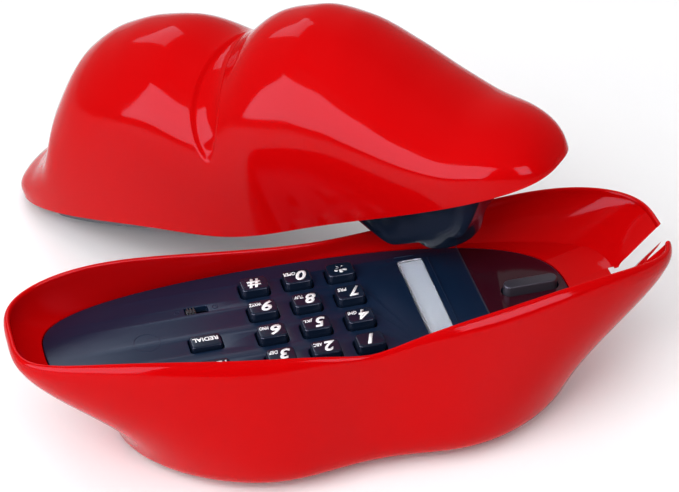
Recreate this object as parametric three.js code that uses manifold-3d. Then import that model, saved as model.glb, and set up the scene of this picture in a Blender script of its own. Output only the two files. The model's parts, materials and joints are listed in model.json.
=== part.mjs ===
// Novelty desk telephone in the shape of a pair of lips.
// The lower lip is the base with the keypad; the upper lip is the handset, lying off the hook:
// one end rests on the desk behind the base, and its mouthpiece pod leans on the base's back rim.
// Millimetres, +Z up. +X runs along the base, -Y is the front of the base.
import * as THREE from 'three';
import { mergeVertices } from 'three/addons/utils/BufferGeometryUtils.js';
import Module from 'manifold-3d';

const wasm = await Module();
wasm.setup();

// ---------------------------------------------------------------- driving dimensions
const WALL = 2.8;              // moulded wall of both lips
const GAP = 0.3;               // clearance between pieces that touch
const FOOT_H = 2.9;            // rubber feet under the base

const BASE = {                 // the lower lip: a bowl around centreX, centreY
  centreX: 0.8, centreY: 4, tipY: 4.4, bottomZ: 3,
  halfLength: 109, bottomHalfLength: 76.6, endFlare: 2,
  rimFront: 35.3, rimBack: 36, bottomFront: 37.5, bottomBack: 30, bulge: 10, bulgePower: 0.39,
  rimFrontZ: 49, rimBackZ: 39, rimTipZ: 47, rimHump: 4.6, frontBlend: 0.84, backBlend: 1.6,
  squareness: 0.89, rimSquareness: 0.55, rimDip: 3, dipWidth: 0.17, rightLift: 2.2,
  cleftDepth: 9.2, cleftWidth: 28,
};
const RIM_CREST = 2;           // how far in from the outside the rim is highest
const FLANGE = { wide: 7, top: 8, bottom: 5.5 };   // turned-in edge that the bottom plate screws to

const PANEL = {                // the keypad panel that closes the bowl
  top: 33, thick: 2.5, centreX: -10.5, centreY: 8, halfLength: 85.5,
  back: 29.4, backLean: 3.5, front: 33.5, skew: 6,
};

const KEYS = { x: -10, y: 8, pitchX: 14.5, pitchY: 12.2, wide: 9.4, deep: 7, top: 36, bottom: 28.8 };
const SIDE_KEYS = { x: -45.6, y: 4.1, pitchY: 12.4, wide: 10.2, deep: 6.2, top: 34.6 };
const TONE = { x: -44.9, y: 21.4, long: 7.6, wide: 3.3, travel: 3.6 };
const LABEL = { x: 28.6, y: 4, wide: 8.6, long: 48.4 };
const HOOK = { x: 62.5, y: 4, long: 18.4, wide: 4.6, top: 36.2, travel: 3 };
const BOARD = { z: 24, thick: 1.6, x: -11, y: 7, long: 112, wide: 48 };
const SLOT = { y: 2.5, wide: 7.4, z: 33.4, x: 90, corner: 2.4 };
// the slot goes on under the rim, down and backwards, so that the cord can leave behind the base
const CHANNEL = {
  wide: 7.2, way: [0.334, 1.225, -1], deep: 16,
  runs: [[90.3, 33.7, 94.3, 34], [93.3, 33.6, 109.6, 50.4]],   // from x, z to x, z along the slot
};
const LINE_JACK = { x: -24, y: 32, z: 15, wide: 9.6 };
const CORD_JACK = { x: 18, y: 32, z: 15, wide: 7.8 };
const SCREW_SPOTS = [[-52, -13.5], [-52, 21], [54, -13.5], [54, 21]];
const FOOT_SPOTS = [[-38, -9], [-38, 20], [40, -9], [40, 20]];
const PANEL_POSTS = [[-61, -10], [-61, 24], [41, -14], [41, 20]];
const BRACKET_TOP = 17.2;      // where the hook spring stands
const PLUNGER_SHOULDER = 28.4; // where it pushes
const BASE_FLOOR = 5.6;        // what stands on the bottom plate starts here

const HANDSET = {              // the upper lip, in its own frame: rim near z = 0, front at -y
  halfLength: 109.3, front: 36, back: 31.5, crest: 59.7, rimPower: 0.35, bulge: 0.1,
  notch: 8.7, notchWidth: 0.12, tubercle: 4.2, tubercleWidth: 0.28, tipRise: 1.5,
  coverZ: 1.2, coverThick: 2.4, coverEnd: 100,
};
const CREST_LINE = [           // height of the lip from its left tip to its right tip, as a share
  [-1, 0.21], [-0.88, 0.24], [-0.78, 0.356], [-0.66, 0.688], [-0.54, 0.888], [-0.42, 0.972], [-0.3, 1],
  [0.3, 1], [0.42, 0.932], [0.54, 0.763], [0.66, 0.557], [0.78, 0.396], [0.88, 0.34], [1, 0.27],
];
const GROOVE = { depth: 1.5, halfWidth: 5.2, low: 28.5, high: 101, lean: 0.62, step: 1.2 };
const MOUTH_POD = { x: 68, depth: 16.4, inward: 31, inwardRamp: 17, tipward: 25, tipRamp: 17 };
const MOUTH_CUP = { x: 67, y: -9.5, depth: 4.6, radius: 13.5 };
const EAR_POD = { x: -62, y: -2, depth: 9, inward: 55, inwardRamp: 45, tipward: 36, tipRamp: 9 };
const HANDSET_POSTS = [-20, 20];
const COVER_JACK = { x: 88.5, wide: 7, deep: 6.4 };
const POSE = { x: -1.6, y: 79.6, z: 38.5, yaw: -43.3, tilt: -20.3, roll: -1.4 };

const COLOUR = {
  red: 0xc80404, panel: 0x1b2434, key: 0x0c111c, cover: 0x0d1422, label: 0xbfc8cc,
  clear: 0xdfe8ea, rubber: 0x121212, metal: 0x9aa0a6, board: 0x1e5a34, mat: 0x70757a,
};

// ---------------------------------------------------------------- helpers
const phone = new THREE.Group();
const base = new THREE.Group();
const handset = new THREE.Group();
phone.add(base, handset);

function add(group, name, geometry, colour, roughness = 0.5, metalness = 0) {
  const material = new THREE.MeshStandardMaterial({ color: colour, roughness, metalness });
  const mesh = new THREE.Mesh(geometry, material);
  mesh.name = name;
  group.add(mesh);
  return mesh;
}

function solidOf(geometry) {
  const bare = new THREE.BufferGeometry();
  bare.setAttribute('position', geometry.getAttribute('position').clone());
  if (geometry.index) bare.setIndex(geometry.index.clone());
  const merged = mergeVertices(bare, 1e-4);
  const vertProperties = new Float32Array(merged.getAttribute('position').array);
  const triVerts = new Uint32Array(merged.index.array);
  return new wasm.Manifold(new wasm.Mesh({ numProp: 3, vertProperties, triVerts }));
}

function geometryOf(solid) {
  const mesh = solid.getMesh();
  const geometry = new THREE.BufferGeometry();
  geometry.setAttribute('position', new THREE.BufferAttribute(new Float32Array(mesh.vertProperties), 3));
  geometry.setIndex(new THREE.BufferAttribute(new Uint32Array(mesh.triVerts), 1));
  return geometry;
}

function join(...geometries) {
  return geometryOf(geometries.map(solidOf).reduce((a, b) => a.add(b)));
}

function cut(geometry, ...tools) {
  return geometryOf(tools.map(solidOf).reduce((a, b) => a.subtract(b), solidOf(geometry)));
}

function roundedRect(wide, deep, radius, x = 0, y = 0) {
  const shape = new THREE.Shape();
  const w = wide / 2 - radius;
  const d = deep / 2 - radius;
  shape.moveTo(x + w + radius, y - d);
  shape.absarc(x + w, y + d, radius, 0, Math.PI / 2);
  shape.absarc(x - w, y + d, radius, Math.PI / 2, Math.PI);
  shape.absarc(x - w, y - d, radius, Math.PI, 1.5 * Math.PI);
  shape.absarc(x + w, y - d, radius, 1.5 * Math.PI, 2 * Math.PI);
  return shape;
}

function prism(shape, z0, z1, curveSegments = 4) {
  const geometry = new THREE.ExtrudeGeometry(shape, { depth: z1 - z0, bevelEnabled: false, curveSegments });
  return geometry.translate(0, 0, z0);
}

function block(wide, deep, z0, z1, x = 0, y = 0) {
  return new THREE.BoxGeometry(wide, deep, z1 - z0).translate(x, y, (z0 + z1) / 2);
}

function disc(radius, z0, z1, x = 0, y = 0, segments = 24) {
  return new THREE.CylinderGeometry(radius, radius, z1 - z0, segments)
    .rotateX(Math.PI / 2).translate(x, y, (z0 + z1) / 2);
}

function turned(profile, segments = 24) {
  const points = profile.map(([r, z]) => new THREE.Vector2(r, z));
  return new THREE.LatheGeometry(points, segments).rotateX(Math.PI / 2);
}

// triangles of a surface through rows of points; closedRows joins the last row to the first,
// closedColumns joins the end of each row to its start
function skin(rows, { closedRows = false, closedColumns = false } = {}) {
  const positions = [];
  const quad = (a, b, c, d) => positions.push(...a, ...b, ...c, ...a, ...c, ...d);
  const rowCount = closedRows ? rows.length : rows.length - 1;
  const colCount = closedColumns ? rows[0].length : rows[0].length - 1;
  for (let i = 0; i < rowCount; i += 1) {
    const here = rows[i];
    const next = rows[(i + 1) % rows.length];
    for (let j = 0; j < colCount; j += 1) {
      const k = (j + 1) % here.length;
      quad(here[j], here[k], next[k], next[j]);
    }
  }
  return positions;
}

function fan(loop, reverse = false) {
  const middle = [0, 1, 2].map((i) => loop.reduce((sum, p) => sum + p[i], 0) / loop.length);
  const positions = [];
  loop.forEach((point, i) => {
    const next = loop[(i + 1) % loop.length];
    positions.push(...(reverse ? [...middle, ...next, ...point] : [...middle, ...point, ...next]));
  });
  return positions;
}

// drops triangles with no area, merges the points and turns the faces outwards
function closedGeometry(positions) {
  const raw = new THREE.BufferGeometry();
  raw.setAttribute('position', new THREE.Float32BufferAttribute(positions, 3));
  const merged = mergeVertices(raw, 1e-3);
  const source = merged.index.array;
  const at = merged.getAttribute('position');
  const kept = [];
  let volume = 0;
  for (let i = 0; i < source.length; i += 3) {
    const [a, b, c] = [source[i], source[i + 1], source[i + 2]];
    if (a === b || b === c || c === a) continue;
    kept.push(a, b, c);
    const [p, q, r] = [a, b, c].map((n) => new THREE.Vector3().fromBufferAttribute(at, n));
    volume += p.dot(q.cross(r)) / 6;
  }
  if (volume < 0) {
    for (let i = 0; i < kept.length; i += 3) [kept[i], kept[i + 1]] = [kept[i + 1], kept[i]];
  }
  merged.setIndex(kept);
  return merged;
}

const signedPower = (value, power) => Math.sign(value) * Math.abs(value) ** power;
const bell = (value, width) => Math.exp(-((value / width) ** 2));
const { degToRad } = THREE.MathUtils;

function easeIn(value) {
  const t = Math.min(1, Math.max(0, value));
  return t * t * (3 - 2 * t);
}

// a smooth curve through knots [at, value] that never overshoots them
function through(knots, at) {
  const spans = knots.length - 1;
  const slope = (i) => (knots[i + 1][1] - knots[i][1]) / (knots[i + 1][0] - knots[i][0]);
  const tangent = (i) => {
    if (i === 0 || i === spans) return slope(Math.min(i, spans - 1));
    const [before, after] = [slope(i - 1), slope(i)];
    return before * after > 0 ? (2 * before * after) / (before + after) : 0;
  };
  let i = 0;
  while (i < spans - 1 && at > knots[i + 1][0]) i += 1;
  const span = knots[i + 1][0] - knots[i][0];
  const t = (at - knots[i][0]) / span;
  const ease = t * t * (3 - 2 * t);
  const lean = t * (1 - t) * span * ((1 - t) * tangent(i) - t * tangent(i + 1));
  return knots[i][1] + (knots[i + 1][1] - knots[i][1]) * ease + lean;
}

// ---------------------------------------------------------------- the lower lip
function baseRimZ(angle) {
  const along = Math.abs(Math.cos(angle));
  const [middle, blendPower] = Math.sin(angle) < 0
    ? [BASE.rimFrontZ, BASE.frontBlend] : [BASE.rimBackZ, BASE.backBlend];
  const even = middle + (BASE.rimTipZ - middle) * along ** blendPower
    + BASE.rimHump * Math.sin(Math.PI * along ** 2);
  if (Math.sin(angle) >= 0) return even;
  const right = Math.max(0, Math.cos(angle));
  const lift = BASE.rightLift * Math.sin(Math.PI * right ** 0.8);
  return even + lift - BASE.rimDip * bell(Math.cos(angle), BASE.dipWidth);
}

// a point of the bowl: angle goes round it, t climbs from the bottom edge (0) to the rim (1)
function bowlPoint(angle, t, inset = 0) {
  const c = Math.cos(angle);
  const s = Math.sin(angle);
  const rise = Math.sin((t * Math.PI) / 2) ** BASE.endFlare;
  const half = BASE.bottomHalfLength + (BASE.halfLength - BASE.bottomHalfLength) * rise - inset;
  const x = half * signedPower(c, 1 + 0.1 * t);
  const swell = BASE.bulge * Math.sin(Math.PI * t ** BASE.bulgePower);
  const cleft = BASE.cleftDepth * bell(x, BASE.cleftWidth) * (1 - t) ** 0.7;
  const front = BASE.bottomFront + (BASE.rimFront - BASE.bottomFront) * t + swell - cleft - inset;
  const back = BASE.bottomBack + (BASE.rimBack - BASE.bottomBack) * t + 0.5 * swell - inset;
  const squareness = BASE.squareness + (BASE.rimSquareness - BASE.squareness) * t;
  const depth = Math.abs(s) ** squareness * (s < 0 ? -front : back);
  const z = BASE.bottomZ + (baseRimZ(angle) - BASE.bottomZ) * t;
  return [BASE.centreX + x, BASE.centreY + BASE.tipY * c * c + depth, z];
}

const BOWL_STEPS = 68;
const BOWL_ANGLES = Array.from({ length: BOWL_STEPS }, (_, i) => ((i + 0.5) * 2 * Math.PI) / BOWL_STEPS);

function bowlAtHeight(angle, z, inset) {
  return bowlPoint(angle, (z - BASE.bottomZ) / (baseRimZ(angle) - BASE.bottomZ), inset);
}

function panelEdge(angle, z, inset = 0) {
  const c = Math.cos(angle);
  const s = Math.sin(angle);
  const depth = (s < 0 ? PANEL.front : PANEL.back + PANEL.backLean * c) - inset;
  const x = PANEL.centreX + (PANEL.halfLength - inset) * signedPower(c, 0.9);
  const y = PANEL.centreY - PANEL.skew * c + depth * signedPower(s, 0.7);
  return [x, y, z];
}

// one slice through the wall: outside, rim, the sloping floor inside, the panel's ledge, the flange
function shellSlice(angle) {
  const rimZ = baseRimZ(angle);
  const outside = [0, 0.025, 0.08, 0.2, 0.45, 0.75].map((t) => bowlPoint(angle, t));
  const shoulder = [[0, 5.5], [0.5, 2.2], [RIM_CREST, 0]]
    .map(([inset, drop]) => bowlAtHeight(angle, rimZ - drop, inset));
  const rimInner = bowlPoint(angle, 1, WALL);
  rimInner[2] = rimZ - 1.1;
  const edge = panelEdge(angle, PANEL.top);
  const flat = 0.5 * Math.max(0, Math.cos(angle)) ** 2;
  const slope = (w) => {
    const out = flat + (1 - flat) * (1 - (1 - w) ** (2.2 - 2.2 * flat));
    const z = edge[2] + (rimInner[2] - edge[2]) * w;
    return [edge[0] + (rimInner[0] - edge[0]) * out, edge[1] + (rimInner[1] - edge[1]) * out, z];
  };
  const floor = [0.7, 0.4, 0.18, 0.02].map(slope);
  const ledgeZ = PANEL.top - PANEL.thick - GAP;
  const ledge = [[0, 0], [0, 2], [1.8, 2]].map(([drop, inset]) => panelEdge(angle, ledgeZ - drop, inset));
  const under = bowlAtHeight(angle, ledgeZ - 2.4, WALL + 0.6);
  const inside = [20, 11].map((z) => bowlAtHeight(angle, z, WALL));
  const flangeTop = bowlAtHeight(angle, FLANGE.top, WALL);
  const [flangeX, flangeY] = bowlPoint(angle, 0, FLANGE.wide);
  const flange = [[flangeX, flangeY, FLANGE.top], [flangeX, flangeY, FLANGE.bottom]];
  const recess = [...bowlPoint(angle, 0, WALL).slice(0, 2), FLANGE.bottom];
  const foot = bowlPoint(angle, 0, WALL);
  return [...outside, ...shoulder, rimInner, ...floor, edge, ...ledge, under, ...inside, flangeTop,
    ...flange, recess, foot];
}

// the cord slot: a notch in the rim, and below it a channel that slants down and backwards
function slotTool() {
  const height = 60;
  const notch = prism(roundedRect(SLOT.wide, height, SLOT.corner, SLOT.y, SLOT.z + height / 2), 0, 40)
    .rotateX(Math.PI / 2).rotateZ(Math.PI / 2).translate(SLOT.x, 0, 0);
  const channel = CHANNEL.runs.map(([x0, z0, x1, z1]) => {
    const along = new THREE.Vector3(x1 - x0, 0, z1 - z0);
    const across = new THREE.Vector3(0, -CHANNEL.wide, 0);
    const down = new THREE.Vector3(...CHANNEL.way).multiplyScalar(CHANNEL.deep);
    const middle = new THREE.Vector3((x0 + x1) / 2, SLOT.y, (z0 + z1) / 2).addScaledVector(down, 0.5);
    const place = new THREE.Matrix4().makeBasis(along, across, down).setPosition(middle);
    return new THREE.BoxGeometry(1, 1, 1).applyMatrix4(place);
  });
  return join(notch, ...channel);
}

function makeBaseShell() {
  const slices = BOWL_ANGLES.map(shellSlice);
  const ring = closedGeometry(skin(slices, { closedRows: true, closedColumns: true }));
  const bosses = SCREW_SPOTS.map(([x, y]) => disc(4, FLANGE.bottom, 13, x, y, 16));
  const bores = SCREW_SPOTS.map(([x, y]) => disc(1.7, FLANGE.bottom - 0.5, 11.5, x, y, 12));
  const mouths = [LINE_JACK, CORD_JACK].map(
    (jack) => block(jack.wide + 1, 14, jack.z - 4, jack.z + 5, jack.x, jack.y + 8),
  );
  return cut(join(ring, ...bosses), ...bores, slotTool(), ...mouths);
}

// ---------------------------------------------------------------- sockets in the back wall
function makeJack(jack) {
  const body = block(jack.wide + 3.4, 15, jack.z - 5, jack.z + 6.5, jack.x, jack.y - 6);
  const cavity = block(jack.wide, 12, jack.z - 3.2, jack.z + 3.6, jack.x, jack.y - 3.5);
  const latch = block(3.4, 12, jack.z + 3.5, jack.z + 5, jack.x, jack.y - 3.5);
  return cut(body, cavity, latch);
}

// ---------------------------------------------------------------- the underside of the base
function makeBottomPlate() {
  const points = BOWL_ANGLES.map((angle) => {
    const [x, y] = bowlPoint(angle, 0, WALL + GAP + 0.1);
    return new THREE.Vector2(x, y);
  });
  const shape = new THREE.Shape(points);
  SCREW_SPOTS.forEach(([x, y]) => shape.holes.push(new THREE.Path().absarc(x, y, 1.8, 0, 2 * Math.PI)));
  FOOT_SPOTS.forEach(([x, y]) => shape.holes.push(new THREE.Path().absarc(x, y, 2.4, 0, 2 * Math.PI)));
  return prism(shape, FOOT_H + GAP, 5.2, 4);
}

function makeFoot() {
  return turned([[0, 0], [6.2, 0], [7, 0.8], [7, FOOT_H], [2.1, FOOT_H], [2.1, 5.4], [0, 5.4]], 14);
}

function makeScrew(length, headR, shankR) {
  return turned([[0, 0], [headR, 0], [headR, 1.2], [shankR, 1.4], [shankR, length], [0, length]], 10);
}

// ---------------------------------------------------------------- keypad panel
const KEY_NAMES = [
  ['3', '2', '1'], ['6', '5', '4'], ['9', '8', '7'], ['hash', '0', 'star'],
];

function keySpots() {
  return KEY_NAMES.flatMap((row, r) => row.map((name, c) => ({
    name: `key_${name}`,
    x: KEYS.x + (c - 1) * KEYS.pitchX,
    y: KEYS.y + (r - 1.5) * KEYS.pitchY,
  })));
}

const SIDE_SPOTS = [
  { name: 'key_redial', x: SIDE_KEYS.x, y: SIDE_KEYS.y },
  { name: 'key_flash', x: SIDE_KEYS.x, y: SIDE_KEYS.y - SIDE_KEYS.pitchY },
];

function makePanel() {
  const outline = BOWL_ANGLES.map((angle) => {
    const [x, y] = panelEdge(angle, 0, GAP + 0.1);
    return new THREE.Vector2(x, y);
  });
  const shape = new THREE.Shape(outline);
  const opening = (wide, deep, radius, x, y) => shape.holes.push(roundedRect(wide, deep, radius, x, y));
  keySpots().forEach(({ x, y }) => opening(KEYS.wide + 0.8, KEYS.deep + 0.8, 1.6, x, y));
  SIDE_SPOTS.forEach(({ x, y }) => opening(SIDE_KEYS.wide + 0.7, SIDE_KEYS.deep + 0.7, 1, x, y));
  opening(TONE.long, TONE.wide, 0.5, TONE.x, TONE.y);
  opening(LABEL.wide, LABEL.long, 0.6, LABEL.x, LABEL.y);
  opening(HOOK.long + 1, HOOK.wide + 1, HOOK.wide / 2 + 0.4, HOOK.x, HOOK.y);
  const plate = prism(shape, PANEL.top - PANEL.thick, PANEL.top, 2);
  const tray = block(LABEL.wide + 3, LABEL.long + 1.2, PANEL.top - 4, PANEL.top - 2.3, LABEL.x, LABEL.y);
  const postTop = PANEL.top - PANEL.thick + 0.5;
  const posts = PANEL_POSTS.map(([x, y]) => disc(2.6, BOARD.z + BOARD.thick + GAP, postTop, x, y, 12));
  return join(plate, tray, ...posts);
}

function makeKey(wide, deep, top, radius) {
  const flangeTop = PANEL.top - PANEL.thick - GAP;
  const stem = prism(roundedRect(wide, deep, radius), KEYS.bottom + 0.4, top - 0.7, 2);
  const cap = prism(roundedRect(wide - 1, deep - 1, radius - 0.3), KEYS.bottom + 0.4, top, 2);
  const flange = block(wide + 2, deep + 2, KEYS.bottom, flangeTop);
  return join(stem, cap, flange);
}

function makeMat() {
  const shape = new THREE.Shape();
  const [left, wing, right] = [-54, -33, 14];
  const [front, step, back] = [-16.6, 13, 30.6];
  shape.moveTo(left, front);
  shape.lineTo(right, front);
  shape.lineTo(right, back);
  shape.lineTo(wing, back);
  shape.lineTo(wing, step);
  shape.lineTo(left, step);
  const z = BOARD.z + BOARD.thick + GAP;
  const sheet = prism(shape, z, z + 0.8);
  const domes = [...keySpots(), ...SIDE_SPOTS].map(({ x, y }) => turned(
    [[0, z + 0.2], [3.2, z + 0.2], [2.2, z + 1.4], [0, z + 1.4]], 10,
  ).translate(x, y, 0));
  return join(sheet, ...domes);
}

function makeBoard() {
  return prism(roundedRect(BOARD.long, BOARD.wide, 3, BOARD.x, BOARD.y), BOARD.z, BOARD.z + BOARD.thick);
}

// ---------------------------------------------------------------- label, tone switch and hook
function makeLabelWindow() {
  const { wide, long, x, y } = LABEL;
  const z0 = PANEL.top - 1.6;
  const slab = prism(roundedRect(wide - 0.6, long - 0.6, 0.5, x, y), z0, PANEL.top + 0.2, 3);
  const raised = prism(roundedRect(wide - 2, long - 2, 0.5, x, y), z0, PANEL.top + 0.7, 3);
  return join(slab, raised);
}

function makeToneKnob() {
  const x = TONE.x - TONE.travel / 2;
  const lever = block(3.2, 2.5, PANEL.top - 2.6, PANEL.top + 0.4, x, TONE.y);
  const rib = block(0.9, 2.5, PANEL.top - 1, PANEL.top + 0.9, x, TONE.y);
  return join(lever, rib);
}

function makeHookPlunger() {
  const { long, wide, top, x, y } = HOOK;
  const round = wide / 2 - 0.01;
  const neck = PLUNGER_SHOULDER + 1;
  const bar = prism(roundedRect(long, wide, round, x, y), neck, top - 0.6, 6);
  const crown = prism(roundedRect(long - 1.2, wide - 1.2, round - 0.6, x, y), neck + 0.6, top, 6);
  const shoulder = block(long - 1, wide + 3, PLUNGER_SHOULDER, PANEL.top - PANEL.thick - GAP, x, y);
  const stem = disc(1.5, BRACKET_TOP - 2, neck, x, y, 12);
  return join(bar, crown, shoulder, stem);
}

function makeHookSpring() {
  const turns = 5;
  const z0 = BRACKET_TOP + 0.7;
  const z1 = PLUNGER_SHOULDER - 0.7;
  const points = Array.from({ length: turns * 10 + 1 }, (_, i) => {
    const angle = (i * Math.PI) / 5;
    const z = z0 + ((z1 - z0) * i) / (turns * 10);
    return new THREE.Vector3(HOOK.x + 2.7 * Math.cos(angle), HOOK.y + 2.7 * Math.sin(angle), z);
  });
  const wire = new THREE.Shape();
  wire.absarc(0, 0, 0.35, 0, 2 * Math.PI);
  const path = new THREE.CatmullRomCurve3(points);
  return new THREE.ExtrudeGeometry(wire, { steps: turns * 10, extrudePath: path, curveSegments: 3 });
}

function makeHookBracket() {
  const x = HOOK.x - 4;
  const top = block(17, 8, BRACKET_TOP - 1.5, BRACKET_TOP, x, HOOK.y);
  const legs = [[-7.8, 5.5], [7.8, 8.3]].map(([dx, z]) => block(1.4, 8, z, BRACKET_TOP - 1, x + dx, HOOK.y));
  return cut(join(top, ...legs), disc(1.9, 10, 20, HOOK.x, HOOK.y, 12));
}

function makeHookSwitch() {
  const body = block(11.6, 6.4, BASE_FLOOR, 10.6, HOOK.x - 5, HOOK.y);
  const button = block(2.4, 3, 10, 11.6, HOOK.x, HOOK.y);
  return join(body, button);
}

function makeRinger() {
  const can = turned([[0, 5.8], [13, 5.8], [13, 11], [12, 12], [3, 12], [3, 10.6], [0, 10.6]], 24);
  return can.translate(18, 1, 0);
}

function makeBallast() {
  return prism(roundedRect(42, 28, 2, -26, 4), 5.8, 10.6, 2);
}

// ---------------------------------------------------------------- the upper lip
function handsetRimZ(x, halfLength) {
  const a = Math.abs(x) / halfLength;
  return HANDSET.tipRise * a * a - HANDSET.tubercle * bell(a, HANDSET.tubercleWidth);
}

// depth of the leaf-shaped groove of the cupid's bow
function groove(x, angle) {
  const u = (THREE.MathUtils.radToDeg(angle) - GROOVE.low) / (GROOVE.high - GROOVE.low);
  if (u <= 0 || u >= 1) return 0;
  const reach = GROOVE.halfWidth * Math.sin(Math.PI * u ** GROOVE.lean);
  const fade = Math.min(1, (2 * reach) / GROOVE.halfWidth);
  return GROOVE.depth * fade * easeIn((reach - Math.abs(x)) / GROOVE.step + 0.5);
}

// a point of the upper lip: s runs from tip to tip (-1 to 1), angle over the top from front to back rim
function lipPoint(s, angle, inset = 0) {
  const half = HANDSET.halfLength - inset;
  const a = Math.abs(s);
  const width = Math.max(0, 1 - a * a) ** HANDSET.rimPower;
  const share = through(CREST_LINE, s) * Math.sqrt(Math.max(0, 1 - a ** 16));
  const crest = (HANDSET.crest - inset) * share - HANDSET.notch * bell(a, HANDSET.notchWidth);
  const rimZ = handsetRimZ(s * half, half);
  const up = Math.sin(angle);
  const across = Math.cos(angle);
  const swell = 1 + HANDSET.bulge * Math.sin(2 * Math.min(angle, Math.PI - angle)) ** 2;
  const reach = (across > 0 ? -(HANDSET.front - inset) : HANDSET.back - inset) * width * swell;
  const y = reach * Math.abs(across) ** 0.9;
  const z = rimZ * (1 - up) + Math.max(crest, rimZ) * Math.max(0, up) ** 0.9;
  const deep = inset > 0 ? 0 : groove(s * half, angle);
  return [s * half, y + deep * across, z - deep * up];
}

// where the lip is cut across, from tip to tip: closer together at the tips and across the groove
function lipStations() {
  const spread = Array.from({ length: 22 }, (_, i) => Math.sin(((i + 2) / 23) * (Math.PI / 2)));
  const right = [...[2.6, 4.6, 5.8, 7.5].map((x) => x / HANDSET.halfLength), ...spread];
  return [...right.map((s) => -s).reverse(), 0, ...right];
}

function lipSurface(rowsCount, inset) {
  return lipStations().map((s) => Array.from(
    { length: rowsCount + 1 },
    (_, j) => lipPoint(s, (j / rowsCount) * Math.PI, inset),
  ));
}

function makeHandsetShell() {
  const outer = lipSurface(16, 0);
  const inner = lipSurface(9, WALL + GAP);
  const strip = (edge) => skin(outer.map((row, i) => edge(row, inner[i])));
  const positions = [
    ...skin(outer),
    ...skin(inner.map((row) => [...row].reverse())),
    ...strip((o, n) => [n[0], o[0]]),
    ...strip((o, n) => [o[o.length - 1], n[n.length - 1]]),
  ];
  const shell = closedGeometry(positions);
  const posts = HANDSET_POSTS.map((x) => disc(3.6, 6.5, HANDSET.crest - WALL - 0.5, x, 0, 16));
  const bores = HANDSET_POSTS.map((x) => disc(1.5, 5, 16, x, 0, 12));
  return cut(join(shell, ...posts), ...bores);
}

// a pod bulges down from the cover: long ramps at its two ends, steep walls along the lip's edges
function podDepth(x, y, pod) {
  const dx = (x - pod.x) * Math.sign(pod.x);
  const endways = dx > 0 ? (pod.tipward - dx) / pod.tipRamp : (pod.inward + dx) / pod.inwardRamp;
  const edge = Math.abs(y) / coverHalf(x, y);
  return pod.depth * easeIn(endways) * easeIn((0.97 - edge) / 0.17);
}

function coverBottom(x, y) {
  const rim = handsetRimZ(x, HANDSET.halfLength - WALL);
  const cup = easeIn((1 - Math.hypot(x - MOUTH_CUP.x, y - MOUTH_CUP.y) / MOUTH_CUP.radius) / 0.3);
  const pods = podDepth(x, y, MOUTH_POD) + podDepth(x, y, EAR_POD) + MOUTH_CUP.depth * cup;
  return rim + HANDSET.coverZ - pods;
}

function coverHalf(x, side) {
  const inset = WALL + GAP + 0.5;
  const half = HANDSET.halfLength - inset;
  const width = Math.max(0, 1 - (x / half) ** 2) ** HANDSET.rimPower;
  return width * ((side < 0 ? HANDSET.front : HANDSET.back) - inset);
}

function makeHandsetCover() {
  const columns = 44;
  const across = 12;
  const crowding = 1.35;       // how much closer the columns stand at the two tips
  const rows = Array.from({ length: columns + 1 }, (_, i) => {
    const x = (HANDSET.coverEnd * Math.sin(((i / columns) * 2 - 1) * crowding)) / Math.sin(crowding);
    const front = coverHalf(x, -1);
    const back = coverHalf(x, 1);
    const below = [];
    const above = [];
    for (let j = 0; j <= across; j += 1) {
      const v = (j / across) * 2 - 1;
      const y = v < 0 ? v * front : v * back;
      const z = coverBottom(x, y);
      below.push([x, y, z]);
      above.unshift([x, y, z + HANDSET.coverThick]);
    }
    return [...below, ...above];
  });
  const ends = [...fan(rows[0], true), ...fan(rows[columns])];
  const plate = closedGeometry([...skin(rows, { closedColumns: true }), ...ends]);
  const holes = HANDSET_POSTS.map((x) => disc(1.7, -8, 12, x, 0, 12));
  const socket = block(COVER_JACK.wide, COVER_JACK.deep, -4, 8, COVER_JACK.x, 0);
  const grille = [...grilleSpots(MOUTH_CUP, 6), ...grilleSpots(EAR_POD, 9)]
    .map(([x, y]) => disc(0.9, -30, 20, x, y, 6));
  return cut(plate, ...holes, socket, ...grille);
}

function grilleSpots(pod, count) {
  const ring = Array.from({ length: count }, (_, i) => {
    const angle = (i * 2 * Math.PI) / count;
    return [pod.x + 5 * Math.cos(angle), pod.y + 5 * Math.sin(angle)];
  });
  return [[pod.x, pod.y], ...ring];
}

function podInsert(pod, radius, z0, z1) {
  const floor = coverBottom(pod.x, pod.y) + HANDSET.coverThick;
  return disc(radius, floor + z0, floor + z1, pod.x, pod.y, 20);
}

function makeHandsetJack() {
  const floor = handsetRimZ(COVER_JACK.x, HANDSET.halfLength) + HANDSET.coverZ + HANDSET.coverThick;
  const body = block(9, 9.4, floor + GAP, floor + 6.6, COVER_JACK.x, 0);
  const cavity = block(COVER_JACK.wide - 0.6, COVER_JACK.deep, floor, floor + 5.4, COVER_JACK.x, 0);
  return cut(body, cavity);
}

// ---------------------------------------------------------------- assembly
const SOFT = 0.8;              // roughness of rubber, paper and foam
const SATIN = 0.4;
const GLOSSY = 0.2;
const METALLIC = 0.8;

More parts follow.
